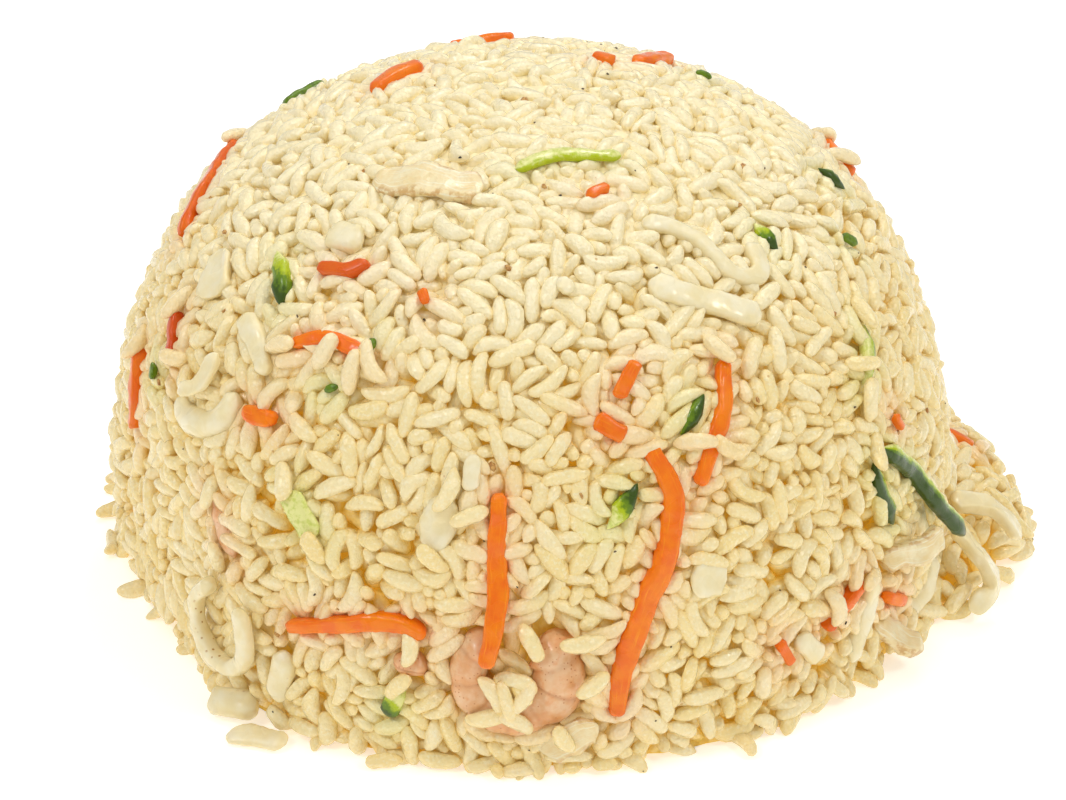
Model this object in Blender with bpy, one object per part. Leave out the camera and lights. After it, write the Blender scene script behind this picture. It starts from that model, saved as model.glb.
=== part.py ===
"""Seafood fried rice turned out of a bowl.

The rice keeps the bowl's round shape and stands on its flat foot. Shreds of carrot and
cucumber, squid, shrimps and slices of bamboo shoot and onion lie in pockets of the rice.
"""

import math
import random

import bmesh
import bpy
import numpy as np
from mathutils import Vector, kdtree

MM = 0.001
SEED = 23

# The heap: the bowl's shape, and the rice that slid out at its foot
BOWL_RADIUS = 68.5 * MM
BOWL_DEPTH = 81 * MM
FULLNESS = 2.65  # 2 would be an ellipse; more is fuller at the shoulder
FOOT_RADIUS = 69.3 * MM
FOOT_HEIGHT = 8 * MM
SPILL_AZIMUTH = 100  # the middle of the rice that slid out on the right, degrees
SPILL_SPREAD = 28
SPILL_REACH = 13 * MM
SPILL_HEIGHT = 10 * MM
TUCK_AZIMUTH = -64  # where the wall is drawn in towards the foot, at the front left
TUCK_SPREAD = 19
TUCK_RISE = 27  # how far up the wall it goes, degrees
TUCK_DEPTH = 4 * MM
STRAY_AZIMUTH = -107  # a few grains that rolled away on the left
STRAY_SPREAD = 5
STRAY_REACH = 5 * MM

# Grains, as they are moulded into the surface and as they lie loose on it
GRAIN_LENGTH = 7.3 * MM
GRAIN_WIDTH = 2.8 * MM
RIDGE_SPACING = 6.3 * MM
RIDGE_HALF_LENGTH = 2.1 * MM
RIDGE_HEIGHT = 1.2 * MM
DIP_DEPTH = 1.3 * MM
DIP_SPACING = 3.0 * MM
FOOT_GRAINS = 30
LOOSE_GRAINS = 26
RIM_STEP = 3.6  # degrees between points of the foot's outline
RIM_DROP = 0.5 * MM  # these points lie this far under the table, where the foot is then cut flat

# How the toppings sit in the rice
GAP = 0.35 * MM
POCKET_MARGIN = 0.7 * MM
POCKET_STEP = 2.3 * MM
WIDE_POCKET = 3.4 * MM  # a pocket with a larger half width gets points along its middle too
RIDGE_CLEARANCE = 2.4 * MM  # from a ridge's high points to the toppings
DIP_CLEARANCE = 2.7 * MM
GRAIN_CLEARANCE = 3.6 * MM
FOOT_CLEARANCE = 2.6 * MM  # from the foot's outline to a piece that lies on the table
TOP_STANDS = 1.3 * MM  # a topping's upper side stands this far over the bowl's surface
SIGHT = Vector((0, 0, -30 * MM))  # every point of the heap can be seen from here
LOWEST = 0.6 * MM

# Azimuth is measured from the front, positive to the right; rise is the angle over the table,
# both seen from the middle of the foot. A third number raises the piece there, in millimetres.
CARROTS = [
    # name, width, thickness, stops
    ("carrot_long_front", 3.8, 2.8, [(17, 40), (19, 35), (18, 29), (15, 23), (12, 16), (11, 8.5)]),
    ("carrot_right", 2.8, 2.4, [(31, 47), (29, 43), (26, 39), (23, 35)]),
    ("carrot_front", 3.2, 2.4, [(-4, 36), (-4, 29), (-4, 25, 1), (-4.4, 21, 3.4), (-5, 17, 4.1)]),
    ("carrot_hook", 3.0, 2.6, [(-32, 16), (-24, 18.5), (-17, 20), (-13.2, 19.2)]),
    ("carrot_upper_left", 2.6, 2.2, [(-39, 47), (-33, 49), (-25, 48)]),
    ("carrot_stub_left", 3.0, 2.4, [(-44, 38.7), (-38, 39)]),
    ("carrot_under_squid", 2.4, 2.0, [(-42, 55.3), (-36, 56), (-32, 57.6)]),
    ("carrot_dark_left", 2.4, 2.2, [(-67.5, 43), (-63.5, 38)]),
    ("carrot_edge_left", 2.6, 2.2, [(-76, 35), (-74, 31), (-74, 26)]),
    ("carrot_rim_left", 2.4, 2.2, [(-110, 52), (-93, 51), (-84, 47)]),
    ("carrot_crown_left", 3.4, 2.4, [(-106, 72), (-130, 74)]),
    ("carrot_top_back", 3.0, 2.4, [(-160, 62), (-168, 64.5), (-176, 66)]),
    ("carrot_crown_right", 3.4, 2.4, [(135, 73), (140, 65)]),
    ("carrot_rim_right", 3.0, 2.4, [(110, 52), (101, 50)]),
    ("carrot_low_right", 2.6, 2.4, [(48, 16.5), (41, 12.5)]),
    ("carrot_low_right_short", 2.2, 2.2, [(53.5, 11.8), (58, 9)]),
    ("carrot_back_high", 3.2, 2.6, [(168, 48), (158, 44), (152, 38)]),
    ("carrot_back_low", 3.0, 2.4, [(-150, 26), (-156, 20), (-158, 13)]),
    ("carrot_back_side", 2.8, 2.4, [(122, 33), (129, 28)]),
]
CUCUMBERS = [
    ("cucumber_front", 3.0, 2.2, [(10, 32), (13, 35), (14.3, 36.3)]),
    ("cucumber_upper", 2.4, 2.2, [(21.5, 40.5), (23.5, 42), (26, 44)]),
    ("cucumber_right", 2.6, 2.2, [(61, 44), (59, 41), (55, 38)]),
    ("cucumber_beside", 2.8, 2.2, [(53, 30), (54, 25.5), (56, 20.8)]),
    ("cucumber_left", 3.0, 2.4, [(-53, 55), (-48, 53), (-45, 50)]),
    ("cucumber_knob", 2.4, 2.2, [(51.6, 59), (52.2, 55.2)]),
    ("cucumber_rim_right", 2.2, 2.0, [(86, 57), (87, 53)]),
    ("cucumber_foot", 3.0, 2.0, [(-16, 12), (-18, 7)]),
    ("cucumber_pale_top", 2.6, 1.4, [(-5, 73), (12, 75), (35, 73)]),
    ("cucumber_pale_left", 4.0, 1.8, [(-33.5, 32.5), (-29, 28)]),
    ("cucumber_back", 3.0, 2.2, [(-140, 44), (-134, 38)]),
]
SQUID = [
    ("squid_hood", (3.5, 6, 8.5), 2.6, [(-66.5, 51.5), (-63, 49), (-60, 47)]),
    ("squid_fold", 3.6, 2.6, [(-51.5, 47.8), (-47, 46), (-44, 44.4), (-42, 42.8)]),
    ("squid_curl", (3.2, 4.4, 4.4, 3.6), 2.2, [(-58.5, 35.8), (-54, 34.6), (-48.8, 36.2), (-46.6, 40)]),
    ("squid_lip", 2.7, 1.6, [(-50.8, 43, 1.5), (-51.2, 41, 1.7), (-52, 39.2, 1.7), (-56, 37.4, 1.7)]),
    ("squid_stub_left", 4.0, 2.6, [(-32.2, 12.4), (-33, 8.5), (-34, 5)]),
    ("squid_strip_right", 4.2, 2.4, [(22.5, 56.6), (31, 53.8), (40.5, 50)]),
    ("squid_j_right", 2.8, 2.2, [(27, 63.7), (33, 62), (36.8, 58.5), (39.6, 55), (45.5, 54.3), (47.6, 57.6)]),
    ("squid_right_low", 5.6, 2.0, [(20.8, 24.5), (25.8, 24)]),
    ("squid_chunk", (3.4, 5.6, 4), 2.6, [(-11, 35.3), (-12, 32), (-13, 29)]),
    ("squid_cube", 5.0, 3.0, [(-44.5, 59.3), (-36, 59.9)]),
    ("squid_strip_low", 3.4, 2.4, [(50.6, 15.6), (48.6, 11), (46, 5.6)]),
    ("squid_stub_low", 3.8, 2.2, [(36, 13), (40, 9)]),
]
SLICES = [
    ("bamboo_slice", (5, 7.5, 6), 2.4, [(-47, 67), (-33, 69), (-14, 69.6)]),
    ("onion_front", 5.4, 1.8, [(1.6, 3.7), (8.1, 7.3)]),
]

# Pieces that stand off the heap or lie on the table: their places in millimetres, and how far
# their broad side looks up, from 0 for a piece that leans on the heap to 90 for one that lies flat.
LEANING = [
    ("cucumber_long", 3.2, 2.2, 20, [(54, -37, 39), (59.5, -31, 31), (64, -29, 24), (69, -25.5, 16)]),
    ("squid_loop_right", 3.6, 2.4, 25, [(67.5, -19, 14), (73, -22.5, 9), (74, -24, 5), (70, -26, 3.4)]),
    ("squid_arc_right", 3.6, 2.4, 50, [(68, -12, 15), (75, -11.5, 13.4), (80, -13, 8.4)]),
    ("squid_curl_right", 3.2, 2.2, 20, [(64, -25.5, 12.4), (62.5, -29, 7.4), (58, -33, 6)]),
    ("onion_low_right", 4.2, 3.0, 15, [(54.5, -39.5, 19.4), (60.5, -36, 19.6), (64.8, -32, 20.6)]),
    ("bamboo_low", 4.4, 3.0, 45, [(53, -40.5, 9.6), (57, -40, 6.6), (61.5, -38.5, 3.6)]),
    ("squid_slab_left", 4.6, 3.4, 60, [(-49.5, -50.8, 2.4), (-45.5, -52.8, 2.8), (-41.4, -54.8, 3.4)]),
    ("squid_chip_left", 4.4, 1.6, 88, [(-45.8, -58.5, 1.1), (-41.2, -60.2, 1.1), (-36.6, -61.5, 1.1)]),
]

# What each piece is made of, by the first word of its name: base colour and roughness
FINISHES = {
    "carrot": ((0.87, 0.21, 0.01), 0.35),
    "cucumber": ((0.12, 0.27, 0.02), 0.35),
    "squid": ((0.83, 0.71, 0.42), 0.3),
    "bamboo": ((0.80, 0.58, 0.26), 0.4),
    "onion": ((0.80, 0.64, 0.33), 0.35),
    "shrimp": ((0.74, 0.42, 0.23), 0.35),
    "rice": ((0.84, 0.76, 0.48), 0.4),
}


def superellipse(radius, height, rise):
    """Distance from the middle of the foot to a round-shouldered heap, at an angle over the table."""
    flat = abs(math.cos(rise)) / radius
    steep = abs(math.sin(rise)) / height
    return (flat**FULLNESS + steep**FULLNESS) ** (-1 / FULLNESS)


def bell(azimuth, middle, spread):
    """1 at the middle azimuth, falling to nothing beyond the spread."""
    offset = (azimuth - middle + 180) % 360 - 180
    return math.exp(-((offset / spread) ** 4))


def tuck(azimuth, rise):
    """How far the wall is drawn in at the front left, most at the foot."""
    return TUCK_DEPTH * bell(azimuth, TUCK_AZIMUTH, TUCK_SPREAD) * bell(rise, 0, TUCK_RISE)


def foot_radius(azimuth):
    spill = SPILL_REACH * bell(azimuth, SPILL_AZIMUTH, SPILL_SPREAD)
    stray = STRAY_REACH * bell(azimuth, STRAY_AZIMUTH, STRAY_SPREAD)
    return FOOT_RADIUS + spill + stray


def reach(azimuth, rise):
    """Distance from the middle of the foot to the heap's surface; both angles in degrees."""
    height = FOOT_HEIGHT + SPILL_HEIGHT * bell(azimuth, SPILL_AZIMUTH, SPILL_SPREAD)
    bowl = superellipse(BOWL_RADIUS, BOWL_DEPTH, math.radians(rise))
    foot = superellipse(foot_radius(azimuth), height, math.radians(rise))
    return max(bowl, foot) - tuck(azimuth, rise)


def on_surface(azimuth, rise):
    turn, tilt = math.radians(azimuth), math.radians(rise)
    way = Vector((math.sin(turn) * math.cos(tilt), -math.cos(turn) * math.cos(tilt), math.sin(tilt)))
    return way * reach(azimuth, rise)


def outward(azimuth, rise, step=0.6):
    """Unit vector away from the surface, from the slopes to either side."""
    across = on_surface(azimuth + step, rise) - on_surface(azimuth - step, rise)
    upward = on_surface(azimuth, rise + step) - on_surface(azimuth, rise - step)
    return across.cross(upward).normalized()


def smooth(stops, steps=10):
    """Points of a curve that runs smoothly through all the stops."""
    ends = [stops[0] * 2 - stops[1], *stops, stops[-1] * 2 - stops[-2]]
    points = []
    for before, start, end, after in zip(ends, ends[1:], ends[2:], ends[3:]):
        for k in range(steps):
            t = k / steps
            pull = (end - before) * t + (before * 2 - start * 5 + end * 4 - after) * t**2
            points.append(start + 0.5 * (pull + (start * 3 - before - end * 3 + after) * t**3))
    return [*points, stops[-1]]


def over_heap(stops, thickness):
    """Route over the rice: points on the piece's middle line, each with its outward direction."""
    route = []
    for azimuth, rise, lift in smooth([Vector((*stop, 0.0)[:3]) for stop in stops]):
        away = outward(azimuth, rise)
        height = TOP_STANDS - thickness / 2 + lift * MM
        route.append((on_surface(azimuth, rise) + away * height, away))
    return route


def curled(azimuth, rise, radius, start, sweep, thickness, stands=TOP_STANDS):
    """Route round part of a circle that lies on the rice; angles run anticlockwise from the right."""
    away = outward(azimuth, rise)
    right = Vector((0, 0, 1)).cross(away).normalized()
    upward = away.cross(right)
    middle = on_surface(azimuth, rise) + away * (stands - thickness / 2)
    route = []
    for k in range(41):
        turn = math.radians(start + sweep * k / 40)
        route.append((middle + radius * (right * math.cos(turn) + upward * math.sin(turn)), away))
    return route


def leaning(places, look_up):
    """Route through places in millimetres, with the broad side turned outwards and up."""
    route = []
    tilt = math.radians(look_up)
    for point in smooth([Vector(place) * MM for place in places]):
        flat = Vector((point.x, point.y, 0)).normalized()
        route.append((point, flat * math.cos(tilt) + Vector((0, 0, math.sin(tilt)))))
    return route


def stations(length, step, tip_length):
    """Places of the sections along a piece: close together at both tips, then evenly spaced."""
    inner = length - 2 * tip_length
    count = max(1, round(inner / step))
    return [0, *(tip_length + inner * k / count for k in range(count + 1)), length]


def sections(route, width, step, tip):
    """Middle, side direction, outward direction and half width at each station of a route."""
    points = np.array([point for point, _ in route])
    aways = np.array([away for _, away in route])
    along = np.concatenate([[0], np.cumsum(np.linalg.norm(np.diff(points, axis=0), axis=1))])
    widths = np.atleast_1d(np.array(width, float)) * MM
    result = []
    places = stations(along[-1], step, min(0.9 * MM, along[-1] * 0.2))
    for place in places:
        middle = Vector([np.interp(place, along, points[:, k]) for k in range(3)])
        away = Vector([np.interp(place, along, aways[:, k]) for k in range(3)]).normalized()
        ahead, behind = (min(max(place + d, 0), along[-1]) for d in (0.5 * MM, -0.5 * MM))
        tangent = Vector([np.interp(ahead, along, points[:, k]) - np.interp(behind, along, points[:, k])
                          for k in range(3)])
        side = tangent.cross(away).normalized()
        share = tip if place in (places[0], places[-1]) else 1
        half = np.interp(place / along[-1], np.linspace(0, 1, len(widths)), widths) / 2
        result.append((middle, side, side.cross(tangent).normalized(), half * share, share))
    return result


# Sections, as shares of the half width and the half thickness: knife-cut, soft-edged and round
CUT_SECTION = [(1, -1), (1, 1), (-1, 1), (-1, -1)]
SOFT_SECTION = [(1, 0), (0.62, 1), (-0.62, 1), (-1, 0), (-0.62, -1), (0.62, -1)]
ROUND_SECTION = [(math.cos(k * math.pi / 4), math.sin(k * math.pi / 4)) for k in range(8)]
SECTIONS = {"carrot": CUT_SECTION, "cucumber": CUT_SECTION, "shrimp": ROUND_SECTION}
TIPS = {"carrot": 0.75, "cucumber": 0.5}  # width at the very ends

toppings = []  # the sections and the thickness of each topping, for which the rice makes room


def finish(name):
    """The material of a piece, made when the first piece of its kind is."""
    kind = name.split("_")[0]
    if kind not in bpy.data.materials:
        color, roughness = FINISHES[kind]
        made = bpy.data.materials.new(kind)
        made.use_nodes = True
        shader = made.node_tree.nodes["Principled BSDF"]
        shader.inputs["Base Color"].default_value = (*color, 1)
        shader.inputs["Roughness"].default_value = roughness
        shader.inputs["Metallic"].default_value = 0
    return bpy.data.materials[kind]


def new_object(name, bm):
    """An object of its own for a closed mesh, with its faces turned outwards."""
    bmesh.ops.recalc_face_normals(bm, faces=bm.faces)
    mesh = bpy.data.meshes.new(name)
    bm.to_mesh(mesh)
    bm.free()
    mesh.materials.append(finish(name))
    obj = bpy.data.objects.new(name, mesh)
    bpy.context.scene.collection.objects.link(obj)
    return obj


def skin(bm, rings):
    """Faces between neighbouring rings of vertices, and one over each end."""
    for low, high in zip(rings, rings[1:]):
        for k in range(len(low)):
            n = (k + 1) % len(low)
            bm.faces.new((low[k], low[n], high[n], high[k]))
    bm.faces.new(rings[0])
    bm.faces.new(rings[-1])


def add_topping(name, route, width, thickness, step=3.2 * MM, waist=None):
    """Sweep a section along a route, and keep what the rice has to leave free."""
    kind = name.split("_")[0]
    profile = SECTIONS.get(kind, SOFT_SECTION)
    cuts = sections(route, width, step, TIPS.get(kind, 0.7))
    bm = bmesh.new()
    rings = []
    for number, (middle, side, away, half, share) in enumerate(cuts):
        swell = waist(number) if waist else 1
        depth = thickness / 2 * swell * (0.75 if share < 1 else 1)
        corners = [middle + side * a * half * swell + away * b * depth for a, b in profile]
        rings.append([bm.verts.new(corner) for corner in corners])
    skin(bm, rings)
    toppings.append((cuts, thickness))
    return new_object(name, bm)


def add_pressed_pieces():
    """The shreds, strips and slices that lie in the heap's surface."""
    for name, width, thickness, stops in CARROTS + CUCUMBERS + SQUID + SLICES:
        add_topping(name, over_heap(stops, thickness * MM), width, thickness * MM)


def add_leaning_pieces():
    for name, width, thickness, look_up, places in LEANING:
        add_topping(name, leaning(places, look_up), width, thickness * MM, step=2.8 * MM)


def add_squid_rings():
    """Rings cut across the squid's tube: one stands at the front's left foot, one lies at the back."""
    front = curled(-42.2, 12.8, 6.6 * MM, 112, 300, 2.6 * MM, stands=3.2 * MM)
    add_topping("squid_ring_left", front, 2.8, 2.6 * MM, step=3 * MM)
    back = curled(-118, 24, 5.6 * MM, 60, 285, 2.4 * MM)
    add_topping("squid_back_curl", back, 2.8, 2.4 * MM, step=3 * MM)


def segments(number):
    """A shrimp's body narrows a little between its segments."""
    return 1.04 if number % 3 else 0.93


def add_shrimps():
    """Two shrimps cooked into a ring, thick at the head end, and the ends of two more."""
    front = curled(-2, 14.4, 6.5 * MM, 112, 308, 7 * MM, stands=2 * MM)
    add_topping("shrimp_front", front, (5, 6.4, 7.4, 8.2, 8.4), 7 * MM, step=1.9 * MM, waist=segments)
    back = curled(150, 20, 6 * MM, 40, 290, 6.4 * MM, stands=1.8 * MM)
    add_topping("shrimp_back", back, (5, 6.4, 7.2, 7.6), 6.4 * MM, step=2.4 * MM, waist=segments)
    end = over_heap([(-15.4, 13.2), (-14.8, 16.4)], 4 * MM)
    add_topping("shrimp_end", end, 5.2, 4 * MM, step=2 * MM)
    peek = over_heap([(-47.5, 27.4, -0.8), (-43, 21.4, -0.8)], 3 * MM)
    add_topping("shrimp_peek", peek, 4, 3 * MM, step=3.6 * MM)


class Scatter:
    """Points strewn over the heap, each kept at a distance from those before it."""

    def __init__(self, limit):
        self.points = np.empty((limit, 3))
        self.count = 0

    def is_free(self, point, distance):
        offsets = self.points[: self.count] - np.array(point)
        return self.count == 0 or (offsets**2).sum(axis=1).min() > distance**2

    def add(self, point):
        self.points[self.count] = point
        self.count += 1


def topping_samples():
    """Points all over the toppings, each with its outward direction, half thickness and topping."""
    samples = []
    for number, (cuts, thickness) in enumerate(toppings):
        for first, second in zip(cuts, cuts[1:]):
            steps = max(1, math.ceil((second[0] - first[0]).length / MM))
            for k in range(steps + 1):
                middle, side, away = (first[n].lerp(second[n], k / steps) for n in range(3))
                half = first[3] + (second[3] - first[3]) * k / steps
                for across in np.linspace(-half, half, max(3, round(half * 2 / MM))):
                    samples.append((middle + side * across, away, thickness / 2, number))
    return samples


class Room:
    """What the rice leaves free: the sight lines to the toppings' undersides, and their footprints."""

    def __init__(self, samples):
        self.ways = kdtree.KDTree(len(samples))
        self.places = kdtree.KDTree(3 * len(samples))
        self.depths = []
        self.owners = []
        for number, (point, away, half, owner) in enumerate(samples):
            under = point - away * (half + GAP) - SIGHT
            self.depths.append(under.length)
            self.ways.insert(under.normalized(), number)
            for layer in (-half, 0, half):
                self.places.insert(point + away * layer, len(self.owners))
                self.owners.append(owner)
        self.ways.balance()
        self.places.balance()
        self.low = [sample[0] for sample in samples if sample[0].z < 6 * MM]

    def clear_of(self, point, distance):
        return self.places.find(point)[2] > distance

    def clear_of_others(self, point, owner, distance=0.9 * MM):
        return all(self.owners[number] == owner for _, number, _ in self.places.find_range(point, distance))

    def pressed(self, point):
        """The point itself, or where it lies once the topping over it has pushed it in."""
        way = point - SIGHT
        length = way.length
        way = way / length
        for _, number, _ in self.ways.find_range(way, 1.3 * MM / BOWL_DEPTH):
            length = min(length, self.depths[number])
        return SIGHT + way * length

    def rim(self, azimuth, radius):
        """The foot's radius, drawn in behind a piece that lies on the table there."""
        for p in self.low:
            turn = math.degrees(math.atan2(p.x, -p.y))
            if abs(turn - azimuth) < 3:
                radius = min(radius, math.hypot(p.x, p.y) - FOOT_CLEARANCE)
        return radius


def rim_points(room, draw):
    """The heap's outline on the table."""
    points = []
    for k in range(round(360 / RIM_STEP)):
        azimuth = -180 + k * RIM_STEP
        radius = room.rim(azimuth, reach(azimuth, 0) + draw.uniform(-0.8, 0.6) * MM)
        turn = math.radians(azimuth)
        points.append(Vector((math.sin(turn) * radius, -math.cos(turn) * radius, -RIM_DROP)))
    return points


def pocket_points(room, scatter):
    """Points under and round each topping, where the rice is pressed in."""
    points = []
    for number, (cuts, thickness) in enumerate(toppings):
        drop = thickness / 2 + GAP
        ends = (cuts[0], cuts[-1])
        for first, second in zip(cuts, cuts[1:]):
            steps = max(1, round((second[0] - first[0]).length / POCKET_STEP))
            for k in range(steps + 1):
                middle, side, away = (first[n].lerp(second[n], k / steps) for n in range(3))
                half = max(first[3], second[3]) + POCKET_MARGIN
                rows = [-half, half] if half < WIDE_POCKET else [-half, 0, half]
                points += [(middle + side * across - away * drop, number) for across in rows]
        for (middle, side, away, half, _), neighbour in zip(ends, (cuts[1], cuts[-2])):
            beyond = (middle - neighbour[0]).normalized() * POCKET_MARGIN
            points += [(middle + beyond + side * half * share - away * drop, number) for share in (-0.6, 0.6)]
    kept = []
    for point, number in points:
        pressed = room.pressed(point)
        if not room.clear_of_others(pressed, number):
            continue
        if pressed.z > LOWEST and scatter.is_free(pressed, 1.25 * MM):
            scatter.add(pressed)
            kept.append(pressed)
    return kept


def random_place(draw):
    """A place anywhere on the heap, as azimuth and rise."""
    return draw.uniform(-180, 180), math.degrees(math.asin(draw.uniform(0.02, 1)))


def ridge_points(room, scatter, draw):
    """Bumps as long as a grain: two high points, lying any way over the surface."""
    middles = Scatter(4000)
    kept = []
    for _ in range(14000):
        azimuth, rise = random_place(draw)
        middle = on_surface(azimuth, rise)
        if not middles.is_free(middle, RIDGE_SPACING) or not room.clear_of(middle, GRAIN_CLEARANCE):
            continue
        away = outward(azimuth, rise)
        turn = draw.uniform(0, math.pi)
        side = away.orthogonal().normalized()
        way = side * math.cos(turn) + away.cross(side) * math.sin(turn)
        height = RIDGE_HEIGHT * draw.uniform(0.75, 1.25)
        pair = [middle + way * RIDGE_HALF_LENGTH * s + away * height for s in (-1, 1)]
        clear = all(scatter.is_free(p, RIDGE_HALF_LENGTH) and room.clear_of(p, RIDGE_CLEARANCE) for p in pair)
        if clear and min(p.z for p in pair) > 1.6 * MM:
            middles.add(middle)
            for point in pair:
                scatter.add(point)
                kept.append(room.pressed(point))
    return kept


def dip_points(room, scatter, draw):
    """Low points between the bumps."""
    kept = []
    for _ in range(30000):
        azimuth, rise = random_place(draw)
        surface = on_surface(azimuth, rise)
        point = surface - outward(azimuth, rise) * DIP_DEPTH * draw.uniform(0.7, 1.3)
        clear = scatter.is_free(point, DIP_SPACING) and room.clear_of(surface, DIP_CLEARANCE)
        if clear and point.z > 1.2 * MM:
            scatter.add(point)
            kept.append(room.pressed(point))
    return kept


def close_foot(bm):
    """Cut away what lies under the table, and close the cut with a flat face."""
    everything = [*bm.verts, *bm.edges, *bm.faces]
    bmesh.ops.bisect_plane(bm, geom=everything, plane_co=(0, 0, 0), plane_no=(0, 0, 1), clear_inner=True)
    bmesh.ops.holes_fill(bm, edges=[edge for edge in bm.edges if edge.is_boundary])


def make_heap(room, draw):
    """One closed skin through all the points: the hull of their directions, moved back to their places."""
    scatter = Scatter(12000)
    rim = rim_points(room, draw)
    for point in rim:
        scatter.add(point)
    pockets = pocket_points(room, scatter)
    ridges = ridge_points(room, scatter, draw)
    dips = dip_points(room, scatter, draw)
    places = rim + pockets + ridges + dips
    bm = bmesh.new()
    verts = [bm.verts.new((place - SIGHT).normalized()) for place in places]
    bmesh.ops.convex_hull(bm, input=verts, use_existing_faces=False)
    for vert, place in zip(verts, places):
        vert.co = place
    close_foot(bm)
    bmesh.ops.triangulate(bm, faces=bm.faces)
    print(len(rim), "rim", len(pockets), "pocket", len(ridges), "ridge", len(dips), "dip points")
    return new_object("rice_mound", bm)


def make_grain(middle, way, collection, number):
    """A loose grain: a five-sided spindle."""
    side = way.orthogonal().normalized()
    other = way.cross(side)
    bm = bmesh.new()
    rings = []
    for place in (-0.27, 0.27):
        corners = [math.tau * k / 5 for k in range(5)]
        rings.append([bm.verts.new(middle + way * GRAIN_LENGTH * place
                                   + (side * math.cos(a) + other * math.sin(a)) * GRAIN_WIDTH / 2)
                      for a in corners])
    tips = [bm.verts.new(middle + way * GRAIN_LENGTH * place) for place in (-0.5, 0.5)]
    for k in range(5):
        n = (k + 1) % 5
        bm.faces.new((rings[0][k], rings[0][n], rings[1][n], rings[1][k]))
        bm.faces.new((rings[0][n], rings[0][k], tips[0]))
        bm.faces.new((rings[1][k], rings[1][n], tips[1]))
    bmesh.ops.recalc_face_normals(bm, faces=bm.faces)
    mesh = bpy.data.meshes.new(f"grain_{number}")
    bm.to_mesh(mesh)
    bm.free()
    collection.objects.link(bpy.data.objects.new(mesh.name, mesh))


def strew_grains(room, draw):
    """Whole grains round the foot and on the heap, clear of the toppings and of each other."""
    collection = bpy.data.collections.new("loose_grains")
    bpy.context.scene.collection.children.link(collection)
    lying = Scatter(400)
    number = 0
    for wanted, at_foot in ((FOOT_GRAINS, True), (LOOSE_GRAINS, False)):
        made = 0
        for _ in range(1500):
            azimuth, rise = random_place(draw)
            turn = math.radians(azimuth)
            if at_foot:
                radius = reach(azimuth, 0) + draw.uniform(-0.6, 0.5) * MM
                away = Vector((0, 0, 1))
                middle = Vector((math.sin(turn), -math.cos(turn), 0)) * radius
                middle.z = GRAIN_WIDTH / 2 + 0.2 * MM
            else:
                away = outward(azimuth, max(rise, 12))
                middle = on_surface(azimuth, max(rise, 12)) + away * 0.5 * MM
            side = away.orthogonal().normalized()
            spin = draw.uniform(0, math.pi)
            way = side * math.cos(spin) + away.cross(side) * math.sin(spin)
            ends = [middle + way * GRAIN_LENGTH * s for s in (-0.5, -0.25, 0, 0.25, 0.5)]
            if lying.is_free(middle, 9 * MM) and all(room.clear_of(p, GRAIN_CLEARANCE) for p in ends):
                lying.add(middle)
                make_grain(middle, way, collection, number)
                number += 1
                made += 1
            if made == wanted:
                break
    return collection


def fuse(heap, collection):
    """Join the loose grains to the heap, and keep the one outer skin."""
    union = heap.modifiers.new("grains", "BOOLEAN")
    union.operation = "UNION"
    union.solver = "EXACT"
    union.operand_type = "COLLECTION"
    union.collection = collection
    evaluated = heap.evaluated_get(bpy.context.evaluated_depsgraph_get())
    joined = bpy.data.meshes.new_from_object(evaluated)
    heap.modifiers.clear()
    heap.data = joined
    for grain in list(collection.objects):
        bpy.data.objects.remove(grain)
    bpy.data.collections.remove(collection)
    keep_largest(joined)


def keep_largest(mesh):
    """Fill sealed hollows and drop loose scraps: only the largest shell stays."""
    bm = bmesh.new()
    bm.from_mesh(mesh)
    unseen = set(bm.faces)
    shells = []
    while unseen:
        shell = {unseen.pop()}
        front = list(shell)
        while front:
            for edge in front.pop().edges:
                for face in edge.link_faces:
                    if face in unseen:
                        unseen.remove(face)
                        shell.add(face)
                        front.append(face)
        shells.append(shell)
    largest = max(shells, key=len)
    rest = [face for shell in shells if shell is not largest for face in shell]
    bmesh.ops.delete(bm, geom=rest, context="FACES")
    bmesh.ops.triangulate(bm, faces=bm.faces)
    bm.to_mesh(mesh)
    bm.free()


def main():
    for obj in list(bpy.data.objects):
        bpy.data.objects.remove(obj)
    draw = random.Random(SEED)
    add_pressed_pieces()
    add_leaning_pieces()
    add_squid_rings()
    add_shrimps()
    room = Room(topping_samples())
    heap = make_heap(room, draw)
    fuse(heap, strew_grains(room, draw))


main()
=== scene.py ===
# %% [markdown]
# # A mound of seafood fried rice
#
# The dish is rice that was pressed into a bowl and turned out, so it keeps the bowl's round
# shape. Shreds of carrot and cucumber, squid, shrimp, bamboo shoot and onion lie in its surface.
# The solids already stand in the scene as a fixed frame. This lesson lays real grains over a core
# of its own, and makes every topping anew in the place of its solid.

import math
import random

import bmesh
import bpy
import numpy as np
from mathutils import Matrix, Vector, kdtree, noise


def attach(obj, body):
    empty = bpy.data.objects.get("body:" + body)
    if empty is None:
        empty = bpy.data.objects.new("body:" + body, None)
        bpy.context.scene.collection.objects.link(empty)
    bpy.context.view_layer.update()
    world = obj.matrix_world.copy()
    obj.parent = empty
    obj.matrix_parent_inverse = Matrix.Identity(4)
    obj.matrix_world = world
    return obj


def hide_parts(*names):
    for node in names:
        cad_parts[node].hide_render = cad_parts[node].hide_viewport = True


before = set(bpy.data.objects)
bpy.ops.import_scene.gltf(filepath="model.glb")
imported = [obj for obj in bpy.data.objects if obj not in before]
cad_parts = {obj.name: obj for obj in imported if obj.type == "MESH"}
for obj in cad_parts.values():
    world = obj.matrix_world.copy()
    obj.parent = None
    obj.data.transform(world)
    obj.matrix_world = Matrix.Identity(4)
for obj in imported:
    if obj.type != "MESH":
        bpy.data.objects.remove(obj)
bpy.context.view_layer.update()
MM = 0.001

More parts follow.
